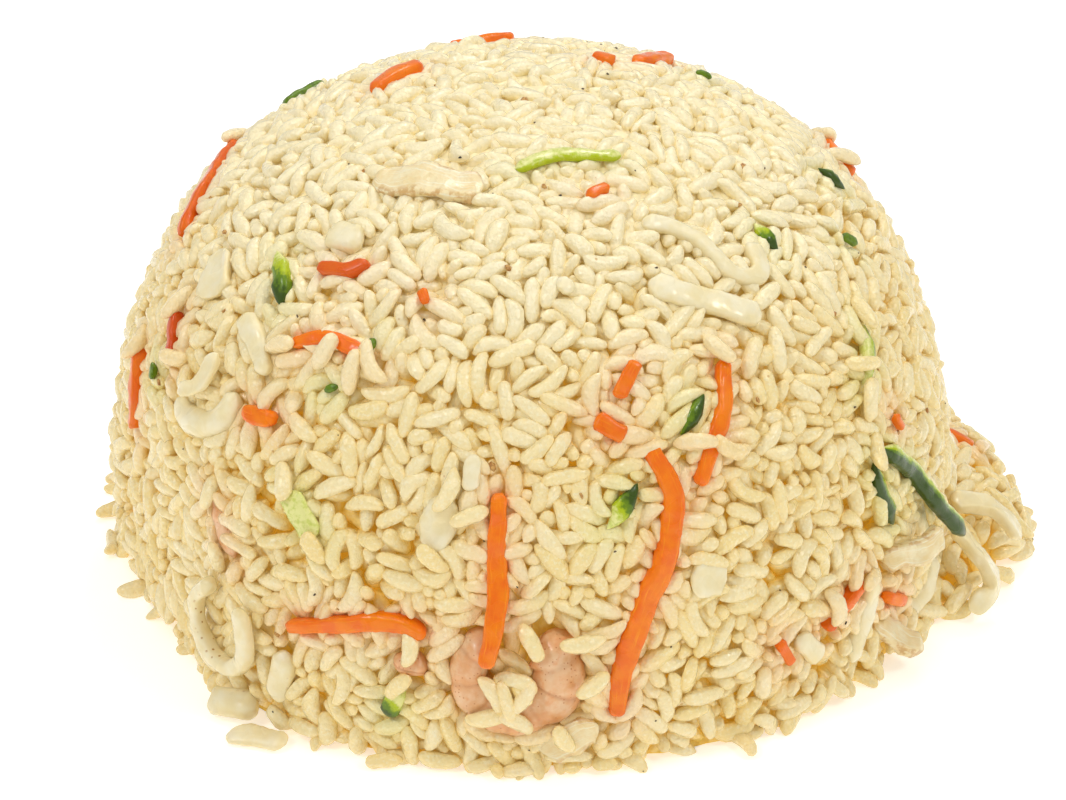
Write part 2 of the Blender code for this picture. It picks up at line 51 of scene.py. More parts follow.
# %% [markdown]
# ## The camera
#
# The camera's place was worked out from the mound's outline and its foot: it looks down at 28.5
# degrees from a bit over half a metre. A long lens at that distance gives the weak perspective
# of a product photograph. The focal length in pixels, over the picture's width, gives the lens.

# %% The camera
PICTURE_WIDTH = 1066
FOCAL_PIXELS = 3427
SENSOR_WIDTH = 36
EYE_DISTANCE = 560 * MM
EYE_RISE = math.radians(28.5)
LOOKED_AT = Vector((0.5 * MM, 0, 26.8 * MM))

lens = bpy.data.cameras.new("camera")
lens.sensor_fit = "HORIZONTAL"
lens.sensor_width = SENSOR_WIDTH
lens.lens = FOCAL_PIXELS / PICTURE_WIDTH * SENSOR_WIDTH
lens.clip_start = 0.01
camera = bpy.data.objects.new("camera", lens)
back = Vector((0, -math.cos(EYE_RISE), math.sin(EYE_RISE)))
camera.location = LOOKED_AT + back * EYE_DISTANCE
camera.rotation_euler = (-back).to_track_quat("-Z", "Y").to_euler()
bpy.context.scene.collection.objects.link(camera)
bpy.context.scene.camera = camera
print("lens in mm:", round(lens.lens, 1))

# %% [markdown]
# ## The shape of the heap
#
# The heap is a superellipse turned round its axis: fuller at the shoulder than an ellipse, as a
# rice bowl is. A low second one is the foot, with the rice that slid out on the right and the few
# grains that rolled away on the left. At the front left the wall is drawn in above the table.
# Written for whole arrays, the same functions serve to place the toppings, the core and
# thousands of grains.

# %% The shape of the heap
BOWL_RADIUS = 68.5 * MM
BOWL_DEPTH = 81 * MM
FULLNESS = 2.65
FOOT_RADIUS = 69.3 * MM
FOOT_HEIGHT = 8 * MM
SPILL = {"middle": 100, "spread": 28}  # azimuths in degrees, from the front to the right
SPILL_REACH = 13 * MM
SPILL_HEIGHT = 10 * MM
TUCK = {"middle": -64, "spread": 19}  # where the wall is drawn in towards the foot
TUCK_RISE = 27
TUCK_DEPTH = 4 * MM
STRAY = {"middle": -107, "spread": 5}
STRAY_REACH = 5 * MM


def superellipse(radius, height, rise):
    flat = np.abs(np.cos(rise)) / radius
    steep = np.abs(np.sin(rise)) / height
    return (flat**FULLNESS + steep**FULLNESS) ** (-1 / FULLNESS)


def bell(azimuth, middle, spread):
    offset = (azimuth - middle + 180) % 360 - 180
    return np.exp(-((offset / spread) ** 4))


def foot_radius(azimuth):
    return FOOT_RADIUS + SPILL_REACH * bell(azimuth, **SPILL) + STRAY_REACH * bell(azimuth, **STRAY)


def reach(azimuth, rise):
    """Distance from the middle of the foot to the heap's surface; angles in degrees."""
    height = FOOT_HEIGHT + SPILL_HEIGHT * bell(azimuth, **SPILL)
    bowl = superellipse(BOWL_RADIUS, BOWL_DEPTH, np.radians(rise))
    foot = superellipse(foot_radius(azimuth), height, np.radians(rise))
    tuck = TUCK_DEPTH * bell(azimuth, **TUCK) * bell(rise, 0, TUCK_RISE)
    return np.maximum(bowl, foot) - tuck


def on_surface(azimuth, rise):
    turn, tilt = np.radians(azimuth), np.radians(rise)
    way = np.stack([np.sin(turn) * np.cos(tilt), -np.cos(turn) * np.cos(tilt), np.sin(tilt)], axis=-1)
    return way * np.asarray(reach(azimuth, rise))[..., None]


def unit(vectors):
    return vectors / np.maximum(np.linalg.norm(vectors, axis=-1, keepdims=True), 1e-12)


def outward(azimuth, rise, step=0.6):
    """Unit vectors away from the surface, from the slopes to either side."""
    across = on_surface(azimuth + step, rise) - on_surface(azimuth - step, rise)
    upward = on_surface(azimuth, rise + step) - on_surface(azimuth, rise - step)
    return unit(np.cross(across, upward))


def angles(points):
    """Azimuth and rise of points, seen from the middle of the foot."""
    far = np.maximum(np.linalg.norm(points, axis=-1), 1e-9)
    azimuth = np.degrees(np.arctan2(points[..., 0], -points[..., 1]))
    return azimuth, np.degrees(np.arcsin(np.clip(points[..., 2] / far, -1, 1)))


def height_over(points):
    """Height of points over the heap's surface, negative inside."""
    azimuth, rise = angles(points)
    lean = np.abs((unit(points) * outward(azimuth, rise)).sum(axis=-1))
    return (np.linalg.norm(points, axis=-1) - reach(azimuth, rise)) * lean


print("top of the heap in mm:", np.round(on_surface(0.0, 90.0) / MM, 1))

# %% [markdown]
# ## Where the toppings lie
#
# Each topping follows a route: a smooth curve through a few stops, each with the direction that
# its broad side faces. Most routes run over the rice, a few stand off it or lie on the table, and
# squid rings and shrimps are curled. The stops repeat those of the solids, so that the finished
# pieces lie exactly where the solids do.

# %% Routes
TOP_STANDS = 1.3 * MM  # a topping's upper side stands this far over the bowl's surface


def smooth(stops, steps=10):
    """Points of a curve that runs smoothly through all the stops."""
    stops = np.asarray(stops, float)
    ends = np.vstack([2 * stops[0] - stops[1], stops, 2 * stops[-1] - stops[-2]])
    t = (np.arange(steps) / steps)[:, None]
    points = []
    for before, start, end, after in zip(ends, ends[1:], ends[2:], ends[3:]):
        pull = (end - before) * t + (2 * before - 5 * start + 4 * end - after) * t**2
        points.append(start + 0.5 * (pull + (3 * start - before - 3 * end + after) * t**3))
    return np.vstack([*points, stops[-1:]])


def over_heap(stops, thickness):
    """A route over the rice: the points of the piece's middle line, and their outward directions."""
    azimuth, rise, lift = smooth([(*stop, 0.0)[:3] for stop in stops]).T
    away = outward(azimuth, rise)
    return on_surface(azimuth, rise) + away * (TOP_STANDS - thickness / 2 + lift * MM)[:, None], away


def curled(azimuth, rise, radius, start, sweep, thickness, stands=TOP_STANDS):
    """A route round part of a circle that lies on the rice; angles run anticlockwise from the right."""
    away = outward(azimuth, rise)
    right = unit(np.cross((0, 0, 1), away))
    upward = np.cross(away, right)
    middle = on_surface(azimuth, rise) + away * (stands - thickness / 2)
    turn = np.radians(start + sweep * np.linspace(0, 1, 41))[:, None]
    points = middle + radius * (right * np.cos(turn) + upward * np.sin(turn))
    return points, np.repeat(away[None], len(points), axis=0)


def leaning(places, look_up):
    """A route through places in millimetres, with the broad side turned outwards and up."""
    points = smooth(places) * MM
    tilt = math.radians(look_up)
    flat = unit(points * (1, 1, 0))
    return points, flat * math.cos(tilt) + np.array((0, 0, math.sin(tilt)))


# %% [markdown]
# The stops are azimuth and rise in degrees, and a third number lifts the piece there, in
# millimetres. A width may change along the piece. The carrot and cucumber were cut with a knife
# into thin sticks, and the squid into strips and rings.

# %% The toppings' places
CARROTS = [
    # name, width, thickness, stops
    ("carrot_long_front", 3.8, 2.8, [(17, 40), (19, 35), (18, 29), (15, 23), (12, 16), (11, 8.5)]),
    ("carrot_right", 2.8, 2.4, [(31, 47), (29, 43), (26, 39), (23, 35)]),
    ("carrot_front", 3.2, 2.4, [(-4, 36), (-4, 29), (-4, 25, 1), (-4.4, 21, 3.4), (-5, 17, 4.1)]),
    ("carrot_hook", 3.0, 2.6, [(-32, 16), (-24, 18.5), (-17, 20), (-13.2, 19.2)]),
    ("carrot_upper_left", 2.6, 2.2, [(-39, 47), (-33, 49), (-25, 48)]),
    ("carrot_stub_left", 3.0, 2.4, [(-44, 38.7), (-38, 39)]),
    ("carrot_under_squid", 2.4, 2.0, [(-42, 55.3), (-36, 56), (-32, 57.6)]),
    ("carrot_dark_left", 2.4, 2.2, [(-67.5, 43), (-63.5, 38)]),
    ("carrot_edge_left", 2.6, 2.2, [(-76, 35), (-74, 31), (-74, 26)]),
    ("carrot_rim_left", 2.4, 2.2, [(-110, 52), (-93, 51), (-84, 47)]),
    ("carrot_crown_left", 3.4, 2.4, [(-106, 72), (-130, 74)]),
    ("carrot_top_back", 3.0, 2.4, [(-160, 62), (-168, 64.5), (-176, 66)]),
    ("carrot_crown_right", 3.4, 2.4, [(135, 73), (140, 65)]),
    ("carrot_rim_right", 3.0, 2.4, [(110, 52), (101, 50)]),
    ("carrot_low_right", 2.6, 2.4, [(48, 16.5), (41, 12.5)]),
    ("carrot_low_right_short", 2.2, 2.2, [(53.5, 11.8), (58, 9)]),
    ("carrot_back_high", 3.2, 2.6, [(168, 48), (158, 44), (152, 38)]),
    ("carrot_back_low", 3.0, 2.4, [(-150, 26), (-156, 20), (-158, 13)]),
    ("carrot_back_side", 2.8, 2.4, [(122, 33), (129, 28)]),
]
CUCUMBERS = [
    ("cucumber_front", 3.0, 2.2, [(10, 32), (13, 35), (14.3, 36.3)]),
    ("cucumber_upper", 2.4, 2.2, [(21.5, 40.5), (23.5, 42), (26, 44)]),
    ("cucumber_right", 2.6, 2.2, [(61, 44), (59, 41), (55, 38)]),
    ("cucumber_beside", 2.8, 2.2, [(53, 30), (54, 25.5), (56, 20.8)]),
    ("cucumber_left", 3.0, 2.4, [(-53, 55), (-48, 53), (-45, 50)]),
    ("cucumber_knob", 2.4, 2.2, [(51.6, 59), (52.2, 55.2)]),
    ("cucumber_rim_right", 2.2, 2.0, [(86, 57), (87, 53)]),
    ("cucumber_foot", 3.0, 2.0, [(-16, 12), (-18, 7)]),
    ("cucumber_pale_top", 2.6, 1.4, [(-5, 73), (12, 75), (35, 73)]),
    ("cucumber_pale_left", 4.0, 1.8, [(-33.5, 32.5), (-29, 28)]),
    ("cucumber_back", 3.0, 2.2, [(-140, 44), (-134, 38)]),
]
SQUID = [
    ("squid_hood", (3.5, 6, 8.5), 2.6, [(-66.5, 51.5), (-63, 49), (-60, 47)]),
    ("squid_fold", 3.6, 2.6, [(-51.5, 47.8), (-47, 46), (-44, 44.4), (-42, 42.8)]),
    ("squid_curl", (3.2, 4.4, 4.4, 3.6), 2.2, [(-58.5, 35.8), (-54, 34.6), (-48.8, 36.2), (-46.6, 40)]),
    ("squid_lip", 2.7, 1.6, [(-50.8, 43, 1.5), (-51.2, 41, 1.7), (-52, 39.2, 1.7), (-56, 37.4, 1.7)]),
    ("squid_stub_left", 4.0, 2.6, [(-32.2, 12.4), (-33, 8.5), (-34, 5)]),
    ("squid_strip_right", 4.2, 2.4, [(22.5, 56.6), (31, 53.8), (40.5, 50)]),
    ("squid_j_right", 2.8, 2.2,
     [(27, 63.7), (33, 62), (36.8, 58.5), (39.6, 55), (45.5, 54.3), (47.6, 57.6)]),
    ("squid_right_low", 5.6, 2.0, [(20.8, 24.5), (25.8, 24)]),
    ("squid_chunk", (3.4, 5.6, 4), 2.6, [(-11, 35.3), (-12, 32), (-13, 29)]),
    ("squid_cube", 5.0, 3.0, [(-44.5, 59.3), (-36, 59.9)]),
    ("squid_strip_low", 3.4, 2.4, [(50.6, 15.6), (48.6, 11), (46, 5.6)]),
    ("squid_stub_low", 3.8, 2.2, [(36, 13), (40, 9)]),
]
SLICES = [
    ("bamboo_slice", (5, 7.5, 6), 2.4, [(-47, 67), (-33, 69), (-14, 69.6)]),
    ("onion_front", 5.4, 1.8, [(1.6, 3.7), (8.1, 7.3)]),
]
LEANING = [
    # name, width, thickness, how far the broad side looks up in degrees, places in millimetres
    ("cucumber_long", 3.2, 2.2, 20, [(54, -37, 39), (59.5, -31, 31), (64, -29, 24), (69, -25.5, 16)]),
    ("squid_loop_right", 3.6, 2.4, 25, [(67.5, -19, 14), (73, -22.5, 9), (74, -24, 5), (70, -26, 3.4)]),
    ("squid_arc_right", 3.6, 2.4, 50, [(68, -12, 15), (75, -11.5, 13.4), (80, -13, 8.4)]),
    ("squid_curl_right", 3.2, 2.2, 20, [(64, -25.5, 12.4), (62.5, -29, 7.4), (58, -33, 6)]),
    ("onion_low_right", 4.2, 3.0, 15, [(54.5, -39.5, 19.4), (60.5, -36, 19.6), (64.8, -32, 20.6)]),
    ("bamboo_low", 4.4, 3.0, 45, [(53, -40.5, 9.6), (57, -40, 6.6), (61.5, -38.5, 3.6)]),
    ("squid_slab_left", 4.6, 3.4, 60, [(-49.5, -50.8, 2.4), (-45.5, -52.8, 2.8), (-41.4, -54.8, 3.4)]),
    ("squid_chip_left", 4.4, 1.6, 88, [(-45.8, -58.5, 1.1), (-41.2, -60.2, 1.1), (-36.6, -61.5, 1.1)]),
]
CURLED = [
    # name, widths, thickness, azimuth, rise, radius, start, sweep, how far it stands off
    ("squid_ring_left", 2.8, 2.6, -42.2, 12.8, 6.6, 112, 300, 3.2),
    ("squid_back_curl", 2.8, 2.4, -118, 24, 5.6, 60, 285, TOP_STANDS / MM),
    ("shrimp_front", (5, 6.4, 7.4, 8.2, 8.4), 7, -2, 14.4, 6.5, 112, 308, 2),
    ("shrimp_back", (5, 6.4, 7.2, 7.6), 6.4, 150, 20, 6, 40, 290, 1.8),
]
SHRIMP_ENDS = [
    ("shrimp_end", 5.2, 4, [(-15.4, 13.2), (-14.8, 16.4)]),
    ("shrimp_peek", 4, 3, [(-47.5, 27.4, -0.8), (-43, 21.4, -0.8)]),
]

BITS = {
    # small scraps, with no solid of their own: width, thickness, stops
    "carrot": [(2.8, 2.2, [(9.3, 43.3), (13.5, 41.3)]), (2.2, 1.6, [(16.5, 48.7), (13, 45.2)]),
               (2.6, 2.0, [(149, 76), (138, 76)]), (1.8, 1.4, [(16, 68), (23, 69)]),
               (1.7, 1.4, [(33, 14), (35, 10)]), (2.0, 1.8, [(104, 10), (101, 7)]),
               (1.6, 1.4, [(-20, 56), (-18, 54.6)]), (1.5, 1.3, [(60, 33), (61, 31)])],
    "cucumber": [(2.2, 2.0, [(-118, 57), (-128, 59)]), (1.5, 1.2, [(-25, 50), (-27, 48)]),
                 (1.4, 1.2, [(-29, 44.6), (-31, 43.6)]), (1.5, 1.2, [(-68, 36.4), (-66.5, 35)]),
                 (1.4, 1.2, [(122, 68), (119, 66.5)]), (1.5, 1.3, [(70, 52), (72, 50)])],
    "squid": [(2.6, 2.0, [(-7.6, 39.8), (-7.9, 36)]), (2.4, 1.6, [(5, 58), (8, 56.6)])],
}

SHRED = np.array((0.68, 0.88, 0.94, 0.9, 0.7))  # a shred is thinner towards its ends
routes = {}
for name, width, thickness, stops in CARROTS + CUCUMBERS + SQUID + SLICES + SHRIMP_ENDS:
    widths = width * SHRED if name.startswith("carrot") else width
    routes[name] = (over_heap(stops, thickness * MM), widths, thickness * MM)
for name, width, thickness, look_up, places in LEANING:
    routes[name] = (leaning(places, look_up), width, thickness * MM)
for name, width, thickness, azimuth, rise, radius, start, sweep, stands in CURLED:
    curl = curled(azimuth, rise, radius * MM, start, sweep, thickness * MM, stands * MM)
    routes[name] = (curl, width, thickness * MM)
scraps = {kind: [(over_heap(stops, thickness * MM), width, thickness * MM)
                 for width, thickness, stops in rows] for kind, rows in BITS.items()}
print("toppings:", len(routes), "of", len(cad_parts) - 1, "solids beside the rice, and",
      sum(len(rows) for rows in scraps.values()), "scraps")

# %% [markdown]
# ## One sweep for every topping
#
# A stick of carrot, a strip of squid and a curled shrimp are all one section carried along a
# route. A superellipse gives every section: a high power makes a knife-cut rectangle with soft
# corners, a low one a round body. The piece narrows over its tips, and a ripple of noise takes
# away the machined look. Each point keeps its place along, across and through the piece, which the
# materials read later.


# %% Sweeping a section along a route
def resampled(route, places):
    """Points, tangents, sides and outward directions at distances along a route."""
    points, aways = route
    along = np.concatenate([[0], np.cumsum(np.linalg.norm(np.diff(points, axis=0), axis=1))])

    def at(values, where):
        return np.stack([np.interp(where, along, values[:, k]) for k in range(3)], axis=1)

    step = 0.5 * MM
    ahead = at(points, np.minimum(places + step, along[-1]))
    behind = at(points, np.maximum(places - step, 0))
    tangents = unit(ahead - behind)
    sides = unit(np.cross(tangents, unit(at(aways, places))))
    return at(points, places), tangents, sides, np.cross(sides, tangents)


def route_length(route):
    return np.linalg.norm(np.diff(route[0], axis=0), axis=1).sum()


def stations(length, tip, step=0.45 * MM):
    """Distances along a piece, close together over its two tips."""
    ease = tip * np.linspace(0, 1, 7)[1:-1] ** 2
    inner = np.linspace(tip, length - tip, max(4, round((length - 2 * tip) / step)))
    return np.concatenate([ease, inner, length - ease[::-1]])


def tube_faces(rings, sides):
    """Faces over a row of rings, closed at each end by a point that comes after the rings."""
    faces = []
    for r in range(rings - 1):
        for k in range(sides):
            n = (k + 1) % sides
            faces.append((r * sides + k, r * sides + n, (r + 1) * sides + n, (r + 1) * sides + k))
    for k in range(sides):
        n = (k + 1) % sides
        faces.append((n, k, rings * sides))
        faces.append(((rings - 1) * sides + k, (rings - 1) * sides + n, rings * sides + 1))
    return faces


def swept(route, widths, thickness, power=2.6, tip=1.3 * MM, taper=0.45, sides=18, swell=None, cup=0.0):
    """Points, faces and the place of each point in a closed piece along a route."""
    length = route_length(route)
    tip = min(tip, length * 0.4)
    places = stations(length, tip)
    middles, tangents, side, away = resampled(route, places)
    widths = np.atleast_1d(np.array(widths, float)) * MM
    half = np.interp(places / length, np.linspace(0, 1, len(widths)), widths) / 2
    share = np.minimum(1, np.minimum(places, length - places) / tip) ** taper
    fat = swell(places / length) if swell else np.ones(len(places))
    turn = np.arange(sides) / sides * math.tau
    flat = np.sign(np.cos(turn)) * np.abs(np.cos(turn)) ** (2 / power)
    deep = np.sign(np.sin(turn)) * np.abs(np.sin(turn)) ** (2 / power)
    x = np.outer(half * share * fat, flat)
    y = np.outer(thickness / 2 * share * fat, deep) + cup * thickness * np.outer(share, flat**2 - 0.5)
    points = middles[:, None] + side[:, None] * x[..., None] + away[:, None] * y[..., None]
    lie = np.stack(np.broadcast_arrays(places[:, None], flat[None], deep[None]), axis=-1)
    points = np.vstack([points.reshape(-1, 3), route[0][[0, -1]]])
    lie = np.vstack([lie.reshape(-1, 3), [(0, 0, 0), (length, 0, 0)]])
    return points, tube_faces(len(places), sides), lie


RIPPLE_SEED = 5
noise.seed_set(RIPPLE_SEED)  # without it, vector noise starts from the time of day


def rippled(points, size, amount, seed):
    """The points moved a little by smooth noise of a given size."""
    shift = Vector((seed * 3.7, seed * 1.3, seed * 2.1))
    moved = [noise.noise_vector(Vector(p) / size + shift) for p in points]
    return points + np.array([v[:] for v in moved]) * amount


def made_object(name, points, faces, **attributes):
    """A smooth mesh object of its own, with its faces turned outwards."""
    mesh = bpy.data.meshes.new(name)
    mesh.from_pydata([tuple(p) for p in points], [], faces)
    for key, values in attributes.items():
        values = np.asarray(values, np.float32)
        kind, field = ("FLOAT_VECTOR", "vector") if values.ndim == 2 else ("FLOAT", "value")
        mesh.attributes.new(key, kind, "POINT").data.foreach_set(field, values.ravel())
    bm = bmesh.new()
    bm.from_mesh(mesh)
    bmesh.ops.recalc_face_normals(bm, faces=bm.faces)
    bm.to_mesh(mesh)
    bm.free()
    mesh.shade_smooth()
    obj = bpy.data.objects.new(name, mesh)
    bpy.context.scene.collection.objects.link(obj)
    return obj


def dress(obj, slot, finish, *nodes):
    """Fix a finished piece to the heap, in the place of its solids."""
    obj.data.materials.clear()
    obj.data.materials.append(finish)
    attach(obj, "root")
    if nodes:
        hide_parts(*nodes)


# %% [markdown]
# ## Shader groups for what food has in common
#
# Everything here is moist, uneven in colour, and flecked. These effects are node groups, built
# once and placed in each material with its own values: a mottle between two colours, flecks of a
# size and number, and a wet skin's relief. They read Object coordinates, which stay the same
# whatever the camera does.


# %% Shader groups
def new_group(name, inputs, outputs):
    """An empty shader group with its sockets: inputs as name, kind and value, outputs as name and kind."""
    group = bpy.data.node_groups.new(name, "ShaderNodeTree")
    for title, kind, value in inputs:
        socket = group.interface.new_socket(title, in_out="INPUT", socket_type=f"NodeSocket{kind}")
        if value is not None:
            socket.default_value = value
    for title, kind in outputs:
        group.interface.new_socket(title, in_out="OUTPUT", socket_type=f"NodeSocket{kind}")
    return group, group.nodes.new("NodeGroupInput"), group.nodes.new("NodeGroupOutput")


def node(tree, kind, settings=None, **inputs):
    """A node with its settings, and with values or links given by the input's name."""
    made = tree.nodes.new(kind)
    for key, value in (settings or {}).items():
        setattr(made, key, value)
    for title, value in inputs.items():
        socket = made.inputs[int(title[1:])] if title[0] == "i" and title[1:].isdigit() else (
            made.inputs[title.replace("_", " ")])
        if isinstance(value, bpy.types.NodeSocket):
            tree.links.new(value, socket)
        else:
            socket.default_value = value
    return made


def computed(tree, operation, first, second=0.0):
    """The result of a Math node, from numbers or links."""
    return node(tree, "ShaderNodeMath", {"operation": operation}, i0=first, i1=second).outputs[0]


def in_millimetres(group, size):
    """Object coordinates, and the texture scale that gives features of a size in millimetres."""
    return node(group, "ShaderNodeTexCoord").outputs["Object"], computed(group, "DIVIDE", 1 / MM, size)


def mottle_group():
    group, given, out = new_group(
        "mottle",
        [("Size", "Float", 1.0), ("Low", "Float", 0.4), ("High", "Float", 0.6),
         ("First", "Color", (1, 1, 1, 1)), ("Second", "Color", (0, 0, 0, 1))],
        [("Color", "Color"), ("Mask", "Float")])
    place, scale = in_millimetres(group, given.outputs["Size"])
    clouds = node(group, "ShaderNodeTexNoise", Vector=place, Scale=scale, Detail=3.0, Roughness=0.6)
    mask = node(group, "ShaderNodeMapRange", {"interpolation_type": "SMOOTHSTEP"},
                Value=clouds.outputs["Fac"], From_Min=given.outputs["Low"], From_Max=given.outputs["High"])
    mixed = node(group, "ShaderNodeMix", {"data_type": "RGBA"}, i0=mask.outputs[0],
                 i6=given.outputs["First"], i7=given.outputs["Second"])
    group.links.new(mixed.outputs[2], out.inputs["Color"])
    group.links.new(mask.outputs[0], out.inputs["Mask"])
    return group


def fleck_group():
    group, given, out = new_group(
        "flecks",
        [("Spacing", "Float", 1.0), ("Size", "Float", 0.2), ("Share", "Float", 0.3)],
        [("Mask", "Float")])
    place, scale = in_millimetres(group, given.outputs["Spacing"])
    cells = node(group, "ShaderNodeTexVoronoi", Vector=place, Scale=scale)
    edge = computed(group, "MULTIPLY", given.outputs["Size"], 0.5)
    dot = node(group, "ShaderNodeMapRange", {"interpolation_type": "SMOOTHSTEP"},
               Value=cells.outputs["Distance"], From_Min=given.outputs["Size"], From_Max=edge)
    lot = node(group, "ShaderNodeSeparateColor", Color=cells.outputs["Color"])
    drawn = computed(group, "LESS_THAN", lot.outputs[0], given.outputs["Share"])
    group.links.new(computed(group, "MULTIPLY", dot.outputs[0], drawn), out.inputs["Mask"])
    return group


FILM_SCALE = 260.0  # the wet and the drier patches are about 4 mm wide


def wet_group():
    group, given, out = new_group(
        "wet_skin",
        [("Size", "Float", 0.5), ("Depth", "Float", 0.1), ("Dry", "Float", 0.5), ("Wet", "Float", 0.2)],
        [("Normal", "Vector"), ("Roughness", "Float")])
    place, scale = in_millimetres(group, given.outputs["Size"])
    bumps = node(group, "ShaderNodeTexNoise", Vector=place, Scale=scale, Detail=2.0)
    depth = computed(group, "MULTIPLY", given.outputs["Depth"], MM)
    relief = node(group, "ShaderNodeBump", Strength=1.0, Distance=depth, Height=bumps.outputs["Fac"])
    film = node(group, "ShaderNodeTexNoise", Vector=place, Scale=FILM_SCALE, Detail=1.0)
    rough = node(group, "ShaderNodeMapRange", Value=film.outputs["Fac"], From_Min=0.35, From_Max=0.65,
                 To_Min=given.outputs["Wet"], To_Max=given.outputs["Dry"])
    group.links.new(relief.outputs["Normal"], out.inputs["Normal"])
    group.links.new(rough.outputs[0], out.inputs["Roughness"])
    return group


MOTTLE = mottle_group()
FLECKS = fleck_group()
WET = wet_group()


def placed(tree, group, **values):
    made = tree.nodes.new("ShaderNodeGroup")
    made.node_tree = group
    for title, value in values.items():
        if isinstance(value, bpy.types.NodeSocket):
            tree.links.new(value, made.inputs[title])
        else:
            made.inputs[title].default_value = value
    return made


def blended(tree, share, first, second):
    """The colour between two, by a share from 0 to 1."""
    return node(tree, "ShaderNodeMix", {"data_type": "RGBA"}, i0=share, i6=first, i7=second).outputs[2]


def attribute(tree, name):
    return node(tree, "ShaderNodeAttribute", {"attribute_name": name})


def scaled(tree, value, factor):
    return computed(tree, "MULTIPLY", value, factor)


def ramped(tree, value, low, high):
    """0 below low and 1 above high, with a soft step between; low may be the larger."""
    return node(tree, "ShaderNodeMapRange", {"interpolation_type": "SMOOTHSTEP"}, Value=value,
                From_Min=low, From_Max=high).outputs[0]


def new_finish(name, under_skin, coat, wet, gloss=1.38):
    """A moist, slightly see-through food: a Principled shader with its constants set on its own sockets."""
    finish = bpy.data.materials.new(name)
    finish.use_nodes = True
    tree = finish.node_tree
    shader = tree.nodes["Principled BSDF"]
    weight, radius, depth = under_skin
    shader.subsurface_method = "BURLEY"
    shader.inputs["Subsurface Weight"].default_value = weight
    shader.inputs["Subsurface Radius"].default_value = radius
    shader.inputs["Subsurface Scale"].default_value = depth * MM
    shader.inputs["Coat Weight"].default_value = coat
    shader.inputs["Coat Roughness"].default_value = 0.14
    shader.inputs["Coat IOR"].default_value = 1.42
    shader.inputs["IOR"].default_value = gloss
    skin = placed(tree, WET, **wet)
    tree.links.new(skin.outputs["Normal"], shader.inputs["Normal"])
    tree.links.new(skin.outputs["Roughness"], shader.inputs["Roughness"])
    return finish, tree, shader.inputs["Base Color"]


def mottled(tree, size, low, high, first, second):
    """The colour of a body that is mottled between two."""
    made = placed(tree, MOTTLE, Size=size, Low=low, High=high, First=(*first, 1), Second=(*second, 1))
    return made.outputs["Color"]


def mottle_mask(tree, size, low, high):
    return placed(tree, MOTTLE, Size=size, Low=low, High=high).outputs["Mask"]


def place_in_sweep(tree):
    """The place along, across and through a swept piece."""
    return node(tree, "ShaderNodeSeparateXYZ", Vector=attribute(tree, "lie").outputs["Vector"]).outputs


def fibres(tree, along, across, through):
    """Streaks along a swept piece, finer with larger numbers."""
    lie = place_in_sweep(tree)
    streaks = node(tree, "ShaderNodeCombineXYZ", X=scaled(tree, lie["X"], along),
                   Y=scaled(tree, lie["Y"], across), Z=scaled(tree, lie["Z"], through))
    return node(tree, "ShaderNodeTexNoise", Scale=1.0, Detail=2.0, Vector=streaks.outputs[0]).outputs["Fac"]


def height_of_point(tree):
    place = node(tree, "ShaderNodeTexCoord").outputs["Object"]
    return node(tree, "ShaderNodeSeparateXYZ", Vector=place).outputs["Z"]


def towards_rim(tree):
    """0 in the middle of a swept piece's width and 1 at its sides."""
    return computed(tree, "ABSOLUTE", place_in_sweep(tree)["Y"])


print("groups:", [group.name for group in (MOTTLE, FLECKS, WET)])

# %% [markdown]
# ## The rice's finish
#
# Cooked rice is ivory, chalkier in its middle and clearer at its skin, and its pale flecks are
# partly chalk and partly painted glints. Down in the gaps an amber shade is painted, with a
# painted amber glow, for light that has gone through oil and many grains. Grains that touch carrot
# take a blush, and those by the cucumber a green tinge. Each grain carries these as attributes, so
# that the one material colours them all. On the crown the rice is paler, partly because the bowl's
# bottom smeared it and partly as painted light from above.

# %% The rice's finish
IVORY = (0.92, 0.79, 0.46, 1)
CREAM = (0.90, 0.72, 0.32, 1)
CHALK_AND_GLINT = (0.97, 0.91, 0.68, 1)
GAP_SHADE_AMBER = (0.90, 0.58, 0.05, 1)
CLEAR_TIP = (0.88, 0.68, 0.30, 1)
SMEAR_AND_TOP_LIGHT = (0.96, 0.88, 0.62, 1)


